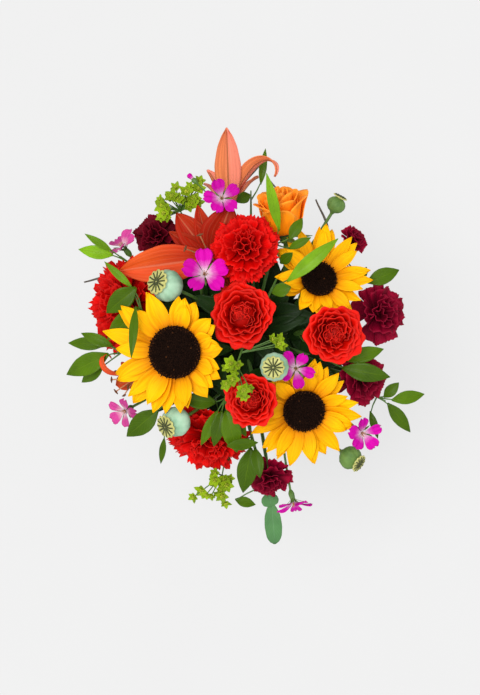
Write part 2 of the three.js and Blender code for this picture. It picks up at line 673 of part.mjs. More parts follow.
// Eases apart the shoots of different plants where their pieces come too close, joint by joint.
// The straight foot of each plant and the ends of its shoots stay where they are.
function easeApart(shoots) {
  const [pieceA, pieceB, onA, onB] = [new THREE.Line3(), new THREE.Line3(), vec(0, 0, 0), vec(0, 0, 0)];
  const firstFree = (shoot) => (shoot.isMain ? 2 : 1);
  const shift = (shoot, i, push) => {
    if (i >= firstFree(shoot) && i < shoot.joints.length - 1) shoot.joints[i].add(push);
  };
  const pairs = shoots.flatMap((a, i) => shoots.slice(i + 1).map((b) => [a, b]));
  const strangers = pairs.filter(([a, b]) => a.plant !== b.plant);
  for (let round = 0; round < EASING_ROUNDS; round++)
    for (const [a, b] of strangers)
      for (let i = firstFree(a) - 1; i < a.joints.length - 1; i++)
        for (let j = firstFree(b) - 1; j < b.joints.length - 1; j++) {
          pieceA.set(a.joints[i], a.joints[i + 1]);
          pieceB.set(b.joints[j], b.joints[j + 1]);
          const apart = Math.sqrt(pieceA.distanceSqToLine3(pieceB, onA, onB));
          const short = a.radius + b.radius + SHOOT_GAP - apart;
          if (short <= 0) continue;
          const push = onA.sub(onB).setLength(short / 2);
          shift(a, i, push);
          shift(a, i + 1, push);
          push.negate();
          shift(b, j, push);
          shift(b, j + 1, push);
        }
}

// Places where a leaf or a star can grow from a shoot: along its last pieces.
function nodesAlong(joints) {
  const last = joints.slice(-3);
  return last.slice(1).flatMap((p, i) => [0.3, 0.75].map((t) => last[i].clone().lerp(p, t)));
}

const nearest = (points, place) =>
  points.reduce((best, p) => (p.distanceTo(place) < best.distanceTo(place) ? p : best));

// A leaf: a narrow stalk from the shoot, then a blade from `base` to `tip`, arched a little.
function leaf(from, base, tip, width) {
  const rise = base.distanceTo(tip) * 0.08;
  const middle = base.clone().lerp(tip, 0.5).addScaledVector(UP, rise);
  const spine = [from, base, base.clone().lerp(middle, 0.6), middle.lerp(tip, 0.35), tip];
  const shares = [0.1, 0.14, 0.85, 0.85, 0];
  const grid = spine.map((p, i) => {
    const along = (spine[i + 1] ?? tip).clone().sub(spine[i - 1] ?? from);
    const side = UP.clone().cross(along).setLength((shares[i] * width) / 2);
    return [-1, 0, 1].map((k) => p.clone().addScaledVector(side, k));
  });
  const root = grid[0][1];
  const above = root.clone().addScaledVector(UP, 0.6);
  const below = root.clone().addScaledVector(UP, -0.6);
  const [right, , left] = grid[0];
  const corners = bladeSurface(grid, 1.1, above, below);
  corners.push(right, above, left, right, left, below);
  return new THREE.BufferGeometry().setFromPoints(corners);
}

// ---------------------------------------------------------------- the bouquet

const bouquet = new THREE.Group();
const built = Object.fromEntries(
  Object.entries(BLOOMS).map(([name, bloom]) => [name, KINDS[name.split("_")[0]](bloom)]),
);

// Hangs a named mesh of the given tissue on its parent.
function addMesh(parent, name, solid, tissue) {
  const [color, roughness] = TISSUES[tissue];
  const geometry = asGeometry(solid);
  geometry.computeVertexNormals();
  const mesh = new THREE.Mesh(geometry, new THREE.MeshStandardMaterial({ color, roughness, metalness: 0 }));
  mesh.name = name;
  parent.add(mesh);
}

for (const [name, bloom] of Object.entries(BLOOMS)) {
  const group = new THREE.Group();
  group.applyMatrix4(stance(bloom));
  for (const [part, [geometry, tissue]] of Object.entries(built[name].parts))
    addMesh(group, `${name}_${part}`, asSolid(geometry), tissue);
  bouquet.add(group);
}

for (const plant of Object.values(PLANTS)) plant.ends = shootEnds(plant);
const slots = packTie(PLANTS);
const belowFloor = asSolid(new THREE.BoxGeometry(600, 600, 40).translate(0, 0, -20));

// The shoots of a plant: the main one through the tie, and a fork for each other end.
function growShoots(slot, { radius, ends }) {
  const main = mainShoot(slot, ends[0]);
  const forks = ends.slice(1).map((end, k) => forkShoot(main, FORK_JOINTS[k % FORK_JOINTS.length], end));
  return [
    { plant: slot, isMain: true, radius, joints: main },
    ...forks.map((joints) => ({ plant: slot, isMain: false, radius: radius * BRANCH, joints })),
  ];
}

const shoots = Object.fromEntries(
  Object.entries(PLANTS).map(([name, plant]) => [name, growShoots(slots[name], plant)]),
);
easeApart(Object.values(shoots).flat());

// A plant in one solid, cut level at the floor.
function plantSolid(ownShoots, { blooms = [], leaves = [], stars = [] }) {
  const nodes = ownShoots.flatMap(({ joints }) => nodesAlong(joints));
  const pieces = [
    ...ownShoots.map(({ joints, radius }) =>
      rod(new JointedPath(joints), radius, radius > THICK ? 6 : 5, joints.length - 1),
    ),
    ...blooms.map((name) => built[name].calyx.applyMatrix4(stance(BLOOMS[name]))),
  ];
  for (const [base, tip, width] of leaves) {
    const start = vec(...base);
    pieces.push(leaf(nearest(nodes, start), start, vec(...tip), width));
  }
  for (const place of stars) {
    const star = vec(...place);
    const stalk = star.clone().sub(nearest(nodes, star));
    const turn = new THREE.Quaternion().setFromUnitVectors(UP, stalk.clone().normalize());
    pieces.push(waxStar(7, stalk.length()).applyQuaternion(turn).translate(...place));
  }
  return wasm.Manifold.union(pieces.map(asSolid)).subtract(belowFloor);
}

for (const [name, plant] of Object.entries(PLANTS))
  addMesh(bouquet, `${name}_stem`, plantSolid(shoots[name], plant), plant.tissue ?? "stem_green");

// ---------------------------------------------------------------- the binding

// Turns of twine side by side, close round the outermost stems, tied off in a knot with two ends.
function binding() {
  const reach = Object.entries(slots).map(([name, slot]) => {
    const rise = TWINE * TWINE_TURNS * SLOPE;
    return (slot.length() + PLANTS[name].radius * 1.08) * Math.hypot(1, rise);
  });
  const inner = Math.max(...reach) + SEAT;
  const half = TWINE * TWINE_TURNS;
  const turns = Array.from({ length: TWINE_TURNS }, (_, k) => TWINE * (2 * k + 1) - half);
  const profile = [
    [inner, -half],
    [inner + TWINE * 1.2, -half],
    ...turns.flatMap((z) => [[inner + TWINE * 2, z], [inner + TWINE * 1.2, z + TWINE]]),
    [inner, half],
    [inner, -half],
  ];
  const points = profile.map(([r, z]) => new THREE.Vector2(r, z));
  const band = new THREE.LatheGeometry(points, 16).rotateX(Math.PI / 2).translate(0, 0, TIE_HEIGHT);
  const knot = new THREE.IcosahedronGeometry(5, 0).translate(inner + 4, 0, TIE_HEIGHT);
  const tails = [-1, 1].map((side) => {
    const start = vec(inner + 4, 0, TIE_HEIGHT);
    const path = new THREE.QuadraticBezierCurve3(
      start,
      start.clone().add(vec(12, side * 8, 4)),
      start.clone().add(vec(20, side * 20, -32)),
    );
    return rod(path, TWINE, 5, 5);
  });
  return wasm.Manifold.union([band, knot, ...tails].map(asSolid));
}

addMesh(bouquet, "twine_tie", binding(), "twine_tan");

export default bouquet;
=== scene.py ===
"""A hand-tied bouquet of mixed flowers, standing on its splayed cut stems and looked down on.

The frame gives the bouquet's solids. This script dresses them: it grows each bloom again with all its
petals, each stem with its leaves, and the twine, in the same places, and paints every surface.
Sizes and places are in millimetres until a piece is made, and directions are in degrees from +X.
"""
import itertools
import math
import random
from functools import reduce

import bpy
import numpy as np
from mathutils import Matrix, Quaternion, Vector
from numpy.linalg import norm


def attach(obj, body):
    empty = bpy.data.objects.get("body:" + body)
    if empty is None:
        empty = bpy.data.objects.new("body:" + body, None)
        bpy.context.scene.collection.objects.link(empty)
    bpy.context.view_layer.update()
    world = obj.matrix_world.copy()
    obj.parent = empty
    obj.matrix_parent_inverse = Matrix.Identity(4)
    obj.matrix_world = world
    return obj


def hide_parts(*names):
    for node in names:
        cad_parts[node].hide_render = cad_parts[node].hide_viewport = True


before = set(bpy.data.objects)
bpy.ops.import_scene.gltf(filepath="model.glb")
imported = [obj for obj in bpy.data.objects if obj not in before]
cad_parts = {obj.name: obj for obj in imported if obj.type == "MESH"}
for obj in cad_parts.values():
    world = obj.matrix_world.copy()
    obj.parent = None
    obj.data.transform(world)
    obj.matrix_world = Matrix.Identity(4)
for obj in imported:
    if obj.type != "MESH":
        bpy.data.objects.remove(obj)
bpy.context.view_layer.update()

# ---- camera, light and floor

MM = 0.001
UP = np.array([0.0, 0.0, 1.0])
VIEW_CENTRE = (-6.0, -7.5)  # what the middle of the picture looks down on
BLOOM_HEIGHT = 330.0  # where a millimetre fills a pixel
VIEW_DISTANCE = 2600.0
VIEW_LENGTH = 695.0  # of the picture's long side at the bloom height
SENSOR = 36.0
FLOOR_WIDTH = 12.0  # in metres, past every edge of the picture

camera = bpy.data.objects.new("camera", bpy.data.cameras.new("camera"))
camera.data.sensor_width = SENSOR
camera.data.lens = SENSOR * VIEW_DISTANCE / VIEW_LENGTH
camera.location = Vector((*VIEW_CENTRE, BLOOM_HEIGHT + VIEW_DISTANCE)) * MM
bpy.context.scene.collection.objects.link(camera)
bpy.context.scene.camera = camera
bpy.context.scene.view_settings.view_transform = "Standard"


def add_light(name, strength, width, way):
    """A distant light that shines down from one way, softened over a `width` in degrees."""
    data = bpy.data.lights.new(name, "SUN")
    data.energy = strength
    data.angle = math.radians(width)
    light = bpy.data.objects.new(name, data)
    light.rotation_mode = "QUATERNION"
    light.rotation_quaternion = Vector(way).to_track_quat("Z", "Y")
    bpy.context.scene.collection.objects.link(light)


add_light("key", 2.5, 30, (-0.35, 0.1, 1.5))
add_light("fill", 0.5, 80, (0.6, -0.8, 1.0))

world = bpy.data.worlds.new("studio")
world.use_nodes = True
world.node_tree.nodes["Background"].inputs["Color"].default_value = (1, 1, 1, 1)
world.node_tree.nodes["Background"].inputs["Strength"].default_value = 0.75
bpy.context.scene.world = world

# ---- shaders


class Shader:
    """A material on one principled surface, with short ways to make its nodes."""

    def __init__(self, name, **sockets):
        self.material = bpy.data.materials.new(name)
        self.material.use_nodes = True
        self.tree = self.material.node_tree
        self.surface = self.tree.nodes["Principled BSDF"]
        for socket, value in sockets.items():
            self.surface.inputs[socket.replace("_", " ")].default_value = value

    def node(self, kind, inputs=(), **settings):
        """A node of a kind. Its inputs are other nodes' outputs or plain values."""
        made = self.tree.nodes.new("ShaderNode" + kind)
        for key, value in settings.items():
            setattr(made, key, value)
        for key, value in dict(inputs).items():
            if isinstance(value, bpy.types.NodeSocket):
                self.tree.links.new(value, made.inputs[key])
            else:
                made.inputs[key].default_value = value
        return made

    def value(self, name):
        """A number that each point of the mesh carries."""
        return self.node("Attribute", attribute_name=name).outputs["Fac"]

    def math(self, operation, a, b=0.0):
        return self.node("Math", {0: a, 1: b}, operation=operation).outputs[0]

    def ramp(self, factor, stops):
        """Colours or greys at places along a factor, and their blends between."""
        made = self.node("ValToRGB", {"Fac": factor})
        points = made.color_ramp.elements
        while len(points) < len(stops):
            points.new(0.5)
        for point, (place, color) in zip(points, stops):
            point.position = place
            point.color = (*color, 1) if isinstance(color, tuple) else (color, color, color, 1)
        return made.outputs["Color"]

    def mix(self, factor, a, b, blend="MIX"):
        made = self.node("Mix", data_type="RGBA", blend_type=blend)
        for socket, value in zip([made.inputs[0], made.inputs[6], made.inputs[7]], [factor, a, b]):
            if isinstance(value, bpy.types.NodeSocket):
                self.tree.links.new(value, socket)
            else:
                socket.default_value = value if isinstance(value, float) else (*value, 1)
        return made.outputs[2]

    def noise(self, scale, at=None, detail=3.0):
        if at is None:
            at = self.node("TexCoord").outputs["Object"]
        return self.node("TexNoise", {"Scale": scale, "Detail": detail, "Vector": at}).outputs["Fac"]

    def streaks(self, across, along, detail=2.0):
        """Noise drawn out along a petal or a leaf, unlike on any two of them."""
        x = self.math("MULTIPLY", self.value("across"), across)
        y = self.math("MULTIPLY", self.value("along"), along)
        z = self.math("MULTIPLY", self.value("tint"), 37.0)
        place = self.node("CombineXYZ", {0: x, 1: y, 2: z}).outputs[0]
        return self.noise(1.0, place, detail)

    def lines(self, place, pitch, narrow, strength):
        """Lines along the crests of a sine over a place, cut off below `narrow` of its height."""
        crest = self.math("SUBTRACT", self.math("SINE", self.math("MULTIPLY", place, pitch)), narrow)
        return self.math("MULTIPLY", self.math("MAXIMUM", crest, 0.0), strength)

    def aside(self):
        """How far a point is from the middle line of its blade."""
        return self.math("ABSOLUTE", self.math("SUBTRACT", self.value("across"), 0.5))

    def tinted(self, color, dark, pale):
        """A colour, times the share from `dark` to `pale` that each blade's tint gives it. The tint is the
        blade's own tone, and on roses, pinks and lilies also painted shade on blades set deep or under
        others.
        """
        own = self.ramp(self.value("tint"), [(0.0, dark), (1.0, pale)])
        return self.mix(1.0, color, own, "MULTIPLY")

    def painted(self, color, height=None, distance=0.0):
        """The material in a colour, and bumped by a height over a distance."""
        self.tree.links.new(color, self.surface.inputs["Base Color"])
        if height is not None:
            bump = self.node("Bump", {"Height": height, "Distance": distance * MM, "Strength": 1.0})
            self.tree.links.new(bump.outputs[0], self.surface.inputs["Normal"])
        return self.material


def petal_material(name, stops, veins, dark, pale, rim_highlight_share=0.0, rim_highlight=(0.75, 0.12, 0.09), rough=0.65):
    """A petal: `stops` colour it from its claw to its rim, `veins` run along it, its rim turns to
    `rim_highlight` by `rim_highlight_share`, a painted highlight along the rim, and petals differ between
    `dark` and
    `pale` shares of the colour."""
    shader = Shader(name, Roughness=rough, Specular_IOR_Level=0.08)
    color = shader.ramp(shader.value("along"), stops)
    shade = shader.ramp(shader.streaks(veins, 1.6), [(0.3, (0.66, 0.6, 0.6)), (0.62, 1.0)])
    color = shader.mix(0.6, color, shade, "MULTIPLY")
    color = shader.tinted(color, dark, pale)
    # Pale rims: painted highlight where the petal rims catch the light.
    if rim_highlight_share:
        rim = shader.ramp(shader.value("along"), [(0.86, 0.0), (1.0, rim_highlight_share)])
        color = shader.mix(rim, color, rim_highlight)
    return shader.painted(color, shader.streaks(veins * 1.7, 1.2, 3.0), 0.25)


def tepal_material(name, stops, other_half, midrib, dark):
    """A lily's tepal: `stops` colour it from its claw to its tip, one half of it turns to another
    colour, and a groove and finer veins run along its middle."""
    shader = Shader(name, Roughness=0.6, Specular_IOR_Level=0.08)
    color = shader.ramp(shader.value("along"), stops)
    half = shader.ramp(shader.value("across"), [(0.4, 0.0), (0.62, 0.85)])
    color = shader.mix(half, color, other_half)
    groove = shader.ramp(shader.aside(), [(0.0, 0.9), (0.05, 0.0)])
    veins = shader.lines(shader.value("across"), 56.0, 0.6, 0.45)
    lines = shader.math("MAXIMUM", groove, veins)
    color = shader.mix(lines, color, midrib)
    streak = shader.ramp(shader.streaks(13.0, 1.4), [(0.3, (0.6, 0.5, 0.6)), (0.55, 1.0)])
    color = shader.mix(0.5, color, streak, "MULTIPLY")
    return shader.painted(shader.tinted(color, dark, 1.1), shader.math("MULTIPLY", lines, -1.0), 0.5)


def leaf_material(name, face, back, vein, rough):
    """A leaf: `face` above, `back` below, with a pale midrib and side veins that fork off it."""
    shader = Shader(name, Roughness=rough, Specular_IOR_Level=0.14, Coat_Weight=0.02, Coat_Roughness=0.3)
    aside = shader.aside()
    slant = shader.math("SUBTRACT", shader.value("along"), shader.math("MULTIPLY", aside, 0.55))
    side_veins = shader.lines(slant, 70.0, 0.86, 3.0)
    midrib = shader.ramp(aside, [(0.0, 1.0), (0.035, 0.0)])
    lines = shader.math("MAXIMUM", midrib, side_veins)
    color = shader.mix(shader.value("under"), face, back)
    color = shader.tinted(color, (0.35, 0.42, 0.35), (1.25, 1.3, 0.9))
    cloud = shader.ramp(shader.noise(60.0), [(0.3, (0.72, 0.75, 0.7)), (0.7, (1.1, 1.1, 1.0))])
    color = shader.mix(0.8, color, cloud, "MULTIPLY")
    color = shader.mix(shader.math("MULTIPLY", lines, 0.32), color, vein)
    return shader.painted(color, shader.math("MULTIPLY", lines, -1.0), 0.3)


def grainy_material(name, low, high, scale, rough, depth, **sockets):
    """A surface that drifts between two colours over a grain of the given scale."""
    shader = Shader(name, Roughness=rough, **sockets)
    color = shader.ramp(shader.noise(scale, detail=5.0), [(0.32, low), (0.68, high)])
    return shader.painted(shader.tinted(color, 0.7, 1.2), shader.noise(scale * 3, detail=4.0), depth)


def cockle_material(name, middle, rim):
    """A cockle's petal: pale at its claw, with dark lines that fan out along it."""
    shader = Shader(name, Roughness=0.65, Specular_IOR_Level=0.1)
    along = shader.value("along")
    color = shader.ramp(along, [(0.08, (0.62, 0.50, 0.55)), (0.34, middle), (0.55, rim), (1.0, rim)])
    lines = shader.lines(shader.value("across"), 44.0, 0.7, 2.0)
    fade = shader.ramp(along, [(0.0, 0.1), (0.35, 0.7), (0.75, 0.05)])
    color = shader.mix(shader.math("MULTIPLY", lines, fade), color, (0.10, 0.0, 0.08))
    return shader.painted(shader.tinted(color, 0.8, 1.12), shader.streaks(24.0, 1.5), 0.15)


MATERIALS = {
    # Deep orange at the claw: the rays' own orange base, deepened as painted shade next to the disc.
    "ray": petal_material(
        "sunflower_ray",
        [
            (0.0, (0.66, 0.18, 0.0)), (0.25, (0.88, 0.35, 0.0)),
            (0.55, (0.98, 0.46, 0.0)), (1.0, (1.0, 0.51, 0.0)),
        ],
        14.0, 0.88, 1.04,
    ),
    "disc": grainy_material(
        "sunflower_floret", (0.004, 0.0015, 0.001), (0.016, 0.006, 0.003), 500.0, 0.95, 0.2,
        Specular_IOR_Level=0.06,
    ),
    "disc_rim": grainy_material(
        "sunflower_outer_floret", (0.02, 0.006, 0.002), (0.08, 0.025, 0.006), 500.0, 0.9, 0.2,
        Specular_IOR_Level=0.1,
    ),
    # Near black at the claw: painted shade deep in the heart and between the petals.
    "rose": petal_material(
        "garden_rose_petal",
        [(0.0, (0.08, 0.0, 0.0)), (0.45, (0.48, 0.001, 0.0)), (1.0, (0.82, 0.005, 0.0))],
        7.0, 0.50, 1.08, rim_highlight_share=0.1, rough=0.55,
    ),
    "highrose": petal_material(
        "orange_rose_petal",
        [(0.0, (1.0, 0.21, 0.0)), (0.6, (1.0, 0.26, 0.002)), (1.0, (1.0, 0.31, 0.010))],
        7.0, 0.98, 1.1, rim_highlight_share=0.2, rim_highlight=(1.0, 0.46, 0.10), rough=0.55,
    ),
    # Near black at the claw, here and in both burgundy pinks below: painted shade deep in the bloom.
    "carnation": petal_material(
        "carnation_petal",
        [(0.0, (0.16, 0.0, 0.0)), (0.5, (0.50, 0.0, 0.0)), (1.0, (0.74, 0.001, 0.0))],
        16.0, 0.62, 1.06, rim_highlight_share=0.06,
    ),
    "burgundy": petal_material(
        "burgundy_petal",
        [(0.0, (0.02, 0.0, 0.002)), (0.5, (0.13, 0.0, 0.012)), (1.0, (0.26, 0.0, 0.020))],
        14.0, 0.45, 1.25, rim_highlight_share=0.08, rim_highlight=(0.4, 0.03, 0.08),
    ),
    "dark_burgundy": petal_material(
        "dark_burgundy_petal",
        [(0.0, (0.01, 0.0, 0.001)), (0.5, (0.06, 0.0, 0.004)), (1.0, (0.15, 0.0, 0.010))],
        14.0, 0.45, 1.25, rim_highlight_share=0.04, rim_highlight=(0.3, 0.02, 0.05),
    ),
    "lily": tepal_material(
        "lily_tepal",
        [
            (0.0, (0.40, 0.012, 0.005)), (0.3, (0.70, 0.05, 0.012)),
            (0.7, (0.84, 0.11, 0.016)), (1.0, (0.82, 0.09, 0.008)),
        ],
        (0.86, 0.09, 0.022), (0.80, 0.20, 0.10), 0.42,
    ),
    # Darker tepals for those that others crowd: partly a deeper red, partly painted shade.
    "dark_lily": tepal_material(
        "dark_lily_tepal",
        [(0.0, (0.20, 0.004, 0.002)), (0.4, (0.40, 0.016, 0.003)), (1.0, (0.52, 0.035, 0.006))],
        (0.44, 0.014, 0.002), (0.60, 0.15, 0.07), 0.6,
    ),
    "pale_lily": tepal_material(
        "pale_lily_tepal",
        [(0.0, (0.72, 0.22, 0.07)), (0.5, (0.74, 0.21, 0.075)), (1.0, (0.66, 0.17, 0.07))],
        (0.88, 0.26, 0.18), (0.30, 0.10, 0.03), 0.85,
    ),
    "cockle": cockle_material("cockle_petal", (0.55, 0.10, 0.38), (0.52, 0.0, 0.31)),
    "pink_cockle": cockle_material("pink_cockle_petal", (0.58, 0.22, 0.34), (0.50, 0.05, 0.24)),
    "leaf": leaf_material("leaf", (0.060, 0.120, 0.0), (0.13, 0.22, 0.02), (0.15, 0.25, 0.01), 0.4),
    "young_leaf": leaf_material(
        "young_leaf", (0.15, 0.29, 0.006), (0.22, 0.36, 0.03), (0.27, 0.40, 0.03), 0.4,
    ),
    "blue_leaf": leaf_material("blue_leaf", (0.09, 0.22, 0.11), (0.14, 0.27, 0.15), (0.20, 0.36, 0.20), 0.5),
    # Near-black green: painted shade on the leaves deep inside the bunch.
    "shade_leaf": leaf_material(
        "shade_leaf", (0.010, 0.034, 0.004), (0.025, 0.06, 0.010), (0.03, 0.07, 0.010), 0.5,
    ),
    "bract": leaf_material("bract", (0.25, 0.36, 0.008), (0.24, 0.34, 0.03), (0.36, 0.46, 0.05), 0.55),
    "umbel": grainy_material("umbel", (0.20, 0.28, 0.008), (0.42, 0.46, 0.02), 400.0, 0.7, 0.2),
    "stem": grainy_material("stem", (0.045, 0.12, 0.016), (0.09, 0.19, 0.025), 90.0, 0.5, 0.15),
    "sepal": grainy_material("sepal", (0.05, 0.13, 0.016), (0.12, 0.23, 0.03), 120.0, 0.55, 0.2),
    "cut": grainy_material("cut_end", (0.34, 0.38, 0.18), (0.5, 0.5, 0.3), 600.0, 0.8, 0.2),
    "pod": grainy_material("poppy_capsule", (0.21, 0.40, 0.25), (0.42, 0.62, 0.44), 70.0, 0.7, 0.12),
    "green_pod": grainy_material(
        "unripe_poppy_capsule", (0.055, 0.13, 0.018), (0.15, 0.27, 0.05), 70.0, 0.7, 0.12,
    ),
    "crown": grainy_material("poppy_crown", (0.34, 0.34, 0.08), (0.56, 0.54, 0.19), 300.0, 0.7, 0.2),
    "crown_ray": grainy_material(
        "poppy_crown_ray", (0.025, 0.035, 0.008), (0.07, 0.08, 0.02), 500.0, 0.85, 0.2,
    ),
    "twig": grainy_material("twig_bark", (0.05, 0.042, 0.034), (0.14, 0.12, 0.095), 160.0, 0.85, 0.5),
    "twine": grainy_material("jute_twine", (0.17, 0.10, 0.04), (0.40, 0.27, 0.13), 900.0, 0.95, 0.5),
    "anther": grainy_material("anther", (0.08, 0.025, 0.008), (0.17, 0.06, 0.015), 600.0, 0.9, 0.2),
    "style": grainy_material("style", (0.45, 0.16, 0.06), (0.55, 0.25, 0.11), 200.0, 0.6, 0.1),
}

shader = Shader("floor", Roughness=0.9, Specular_IOR_Level=0.1, Emission_Strength=0.65)
bpy.ops.mesh.primitive_plane_add(size=FLOOR_WIDTH)
floor = bpy.context.object
floor.name = "floor"
floor.data.materials.append(shader.painted(shader.ramp(shader.noise(4.0), [(0.0, 0.135), (1.0, 0.15)])))

# ---- making pieces


def unit(ways):
    """Each way made one long."""
    return ways / norm(ways, axis=-1, keepdims=True)


def leaning(lean, to):
    """The way of an axis that leans from upright towards a heading."""
    lean, to = math.radians(lean), math.radians(to)
    return np.array([math.sin(lean) * math.cos(to), math.sin(lean) * math.sin(to), math.cos(lean)])


NO_TANGENT = [0.31, 0.17, 0.93]  # a way that no rod here starts along
PETAL_THICKNESS = 0.5


class Growth:
    """The faces of one piece, gathered blade by blade. Each point carries its place across and along
    its blade, a tint that its whole blade shares, and whether it is on the underside."""

    def __init__(self):
        self.points, self.values, self.faces, self.skins = [], [], [], []
        self.count = 0

    def add(self, points, faces, skin, across, along, tint=0.5, under=0.0):
        """Points with their values, and faces over them that count from the first of these points."""
        n = len(points)
        self.points.append(points)
        columns = [np.broadcast_to(column, n) for column in (across, along, tint, under)]
        self.values.append(np.stack(columns, 1))
        self.faces += [(np.asarray(f) + self.count).tolist() for f in faces]
        self.skins += [skin] * len(faces)
        self.count += n

    def blade(self, grid, skin, tint=0.5, thick=PETAL_THICKNESS):
        """A closed thin blade round a grid of points, grid[row][column]."""
        rows, cols = grid.shape[:2]
        normal = np.cross(np.gradient(grid, axis=0), np.gradient(grid, axis=1))
        normal /= np.maximum(norm(normal, axis=2, keepdims=True), 1e-9)
        top = (grid + normal * thick / 2).reshape(-1, 3)
        bottom = (grid - normal * thick / 2).reshape(-1, 3)
        index = np.arange(rows * cols).reshape(rows, cols)
        quads = np.stack([index[:-1, :-1], index[:-1, 1:], index[1:, 1:], index[1:, :-1]], -1).reshape(-1, 4)
        rim = np.concatenate([index[0, :-1], index[:-1, -1], index[-1, :0:-1], index[:0:-1, 0]])
        after = np.roll(rim, -1)
        walls = np.stack([rim, after, after + rows * cols, rim + rows * cols], -1)
        faces = np.concatenate([quads[:, ::-1], quads + rows * cols, walls])
        across, along = np.meshgrid(np.linspace(0, 1, cols), np.linspace(0, 1, rows))
        under = np.repeat([0.0, 1.0], rows * cols)
        self.add(np.concatenate([top, bottom]), faces.tolist(), skin,
                 np.tile(across.ravel(), 2), np.tile(along.ravel(), 2), tint, under)

    def rod(self, rings, skin, tint, cut=None):
        """A closed rod over rings of points, rings[row][turn]."""
        rows, sides = rings.shape[:2]
        index = np.arange(rows * sides).reshape(rows, sides)
        ahead = np.roll(index, -1, axis=1)
        quads = np.stack([index[:-1], ahead[:-1], ahead[1:], index[1:]], -1).reshape(-1, 4)
        across = np.tile(np.arange(sides) / sides, rows)
        along = np.repeat(np.linspace(0, 1, rows), sides)
        self.add(rings.reshape(-1, 3), quads.tolist(), skin, across, along, tint)
        self.cap(rings[0][::-1], cut or skin, tint)
        self.cap(rings[-1], skin, tint)

    def cap(self, ring, skin, tint):
        """A fan of triangles that closes a ring."""
        n = len(ring)
        points = np.concatenate([ring, [ring.mean(0)]])
        faces = [[k, (k + 1) % n, n] for k in range(n)]
        self.add(points, faces, skin, 0.5, 0.5, tint)

    def tube(self, path, radii, skin, tint=0.5, sides=8, cut=None, level=False):
        """A round rod along a path, closed at both ends. `cut` is the skin of its first end, which
        `level` lays flat on the floor."""
        path = np.asarray(path, float)
        radii = np.broadcast_to(radii, len(path))
        tangents = unit(np.gradient(path, axis=0))
        side = np.cross(tangents[0], NO_TANGENT)
        rings = []
        turns = np.linspace(0, 2 * math.pi, sides, endpoint=False)
        for p, way, r in zip(path, tangents, radii):
            side = unit(side - way * (side @ way))
            other = np.cross(way, side)
            rings.append(p + r * (np.cos(turns)[:, None] * side + np.sin(turns)[:, None] * other))
        if level:
            rings[0] = rings[0] - tangents[0] * (rings[0][:, 2:] / tangents[0][2])
        self.rod(np.stack(rings), skin, tint, cut)

    def turned(self, profile, sides, skin, tint=0.5, shape=None):
        """A solid of revolution about +Z from [radius, height] points, bottom to top. `shape` gives
        each point's share of its radius from its turn and its height."""
        profile = np.asarray(profile, float)
        turns = np.linspace(0, 2 * math.pi, sides, endpoint=False)
        radius, height = profile[:, :1], profile[:, 1:]
        share = shape(turns[None, :], height) if shape else 1.0
        r = radius * share * np.ones((1, sides))
        grid = np.stack([r * np.cos(turns), r * np.sin(turns), height * np.ones((1, sides))], -1)
        self.rod(grid, skin, tint)

    def move(self, change):
        """Changes all the points gathered so far by a function of them."""
        self.points = [change(p) for p in self.points]

    def stand(self, way, at, spin=0.0):
        """Spins all that is gathered about +Z, turns +Z to a way, and moves the origin to a place."""
        turn = Vector((0, 0, 1)).rotation_difference(Vector(way))
        matrix = np.array((turn @ Quaternion((0, 0, 1), math.radians(spin))).to_matrix())
        self.points = [p @ matrix.T + at for p in self.points]

    def take(self, other):
        """Adds all that another growth holds."""
        self.points += other.points
        self.values += other.values
        self.faces += [[k + self.count for k in f] for f in other.faces]
        self.skins += other.skins
        self.count += other.count

    def finish(self, name, slot, *nodes):
        """Makes the piece, which stands for these nodes of the frame."""
        points = np.concatenate(self.points) * MM
        mesh = bpy.data.meshes.new(name)
        mesh.from_pydata(points.tolist(), [], self.faces)
        values = np.concatenate(self.values).astype(np.float32)
        for column, value in enumerate(("across", "along", "tint", "under")):
            layer = mesh.attributes.new(value, "FLOAT", "POINT")
            layer.data.foreach_set("value", values[:, column].copy())
        used = list(dict.fromkeys(self.skins))
        for skin in used:
            mesh.materials.append(MATERIALS[skin])
        mesh.polygons.foreach_set("material_index", [used.index(skin) for skin in self.skins])
        mesh.polygons.foreach_set("use_smooth", [True] * len(self.faces))
        mesh.update()
        piece = bpy.data.objects.new(name, mesh)
        bpy.context.scene.collection.objects.link(piece)
        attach(piece, "root")
        if nodes:
            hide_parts(*nodes)


def outline(*points):
    """The share of the width at each share of the length, smooth through these points."""
    places, shares = np.array(points, float).T
    fine = np.linspace(0, 1, 41)
    steps = np.interp(fine, places, shares)
    padded = np.concatenate([[steps[0]] * 2, steps, [steps[-1]] * 2])
    soft = np.convolve(padded, [0.1, 0.2, 0.4, 0.2, 0.1], "valid")
    soft[-1] = steps[-1]
    return lambda t: np.interp(t, fine, soft)


LANCE = outline((0, 0.6), (0.2, 0.88), (0.42, 1), (0.62, 0.88), (0.8, 0.56), (0.92, 0.24), (1, 0.02))
BRACT = outline((0, 0.5), (0.2, 0.86), (0.4, 1), (0.65, 0.8), (0.86, 0.4), (1, 0.03))
FAN = outline((0, 0.12), (0.3, 0.34), (0.6, 0.74), (0.85, 1), (1, 0.94))
SPOON = outline((0, 0.14), (0.25, 0.38), (0.5, 0.78), (0.75, 1), (0.92, 0.9), (1, 0.58))
LEAF = outline((0, 0.08), (0.1, 0.4), (0.28, 0.86), (0.45, 1), (0.65, 0.86), (0.85, 0.45), (1, 0.03))
OVAL = outline((0, 0.1), (0.1, 0.5), (0.3, 0.9), (0.55, 1), (0.8, 0.86), (0.94, 0.52), (1, 0.1))
TEPAL = outline((0, 0.34), (0.15, 0.62), (0.38, 0.96), (0.52, 1), (0.74, 0.74), (0.9, 0.36), (1, 0.03))


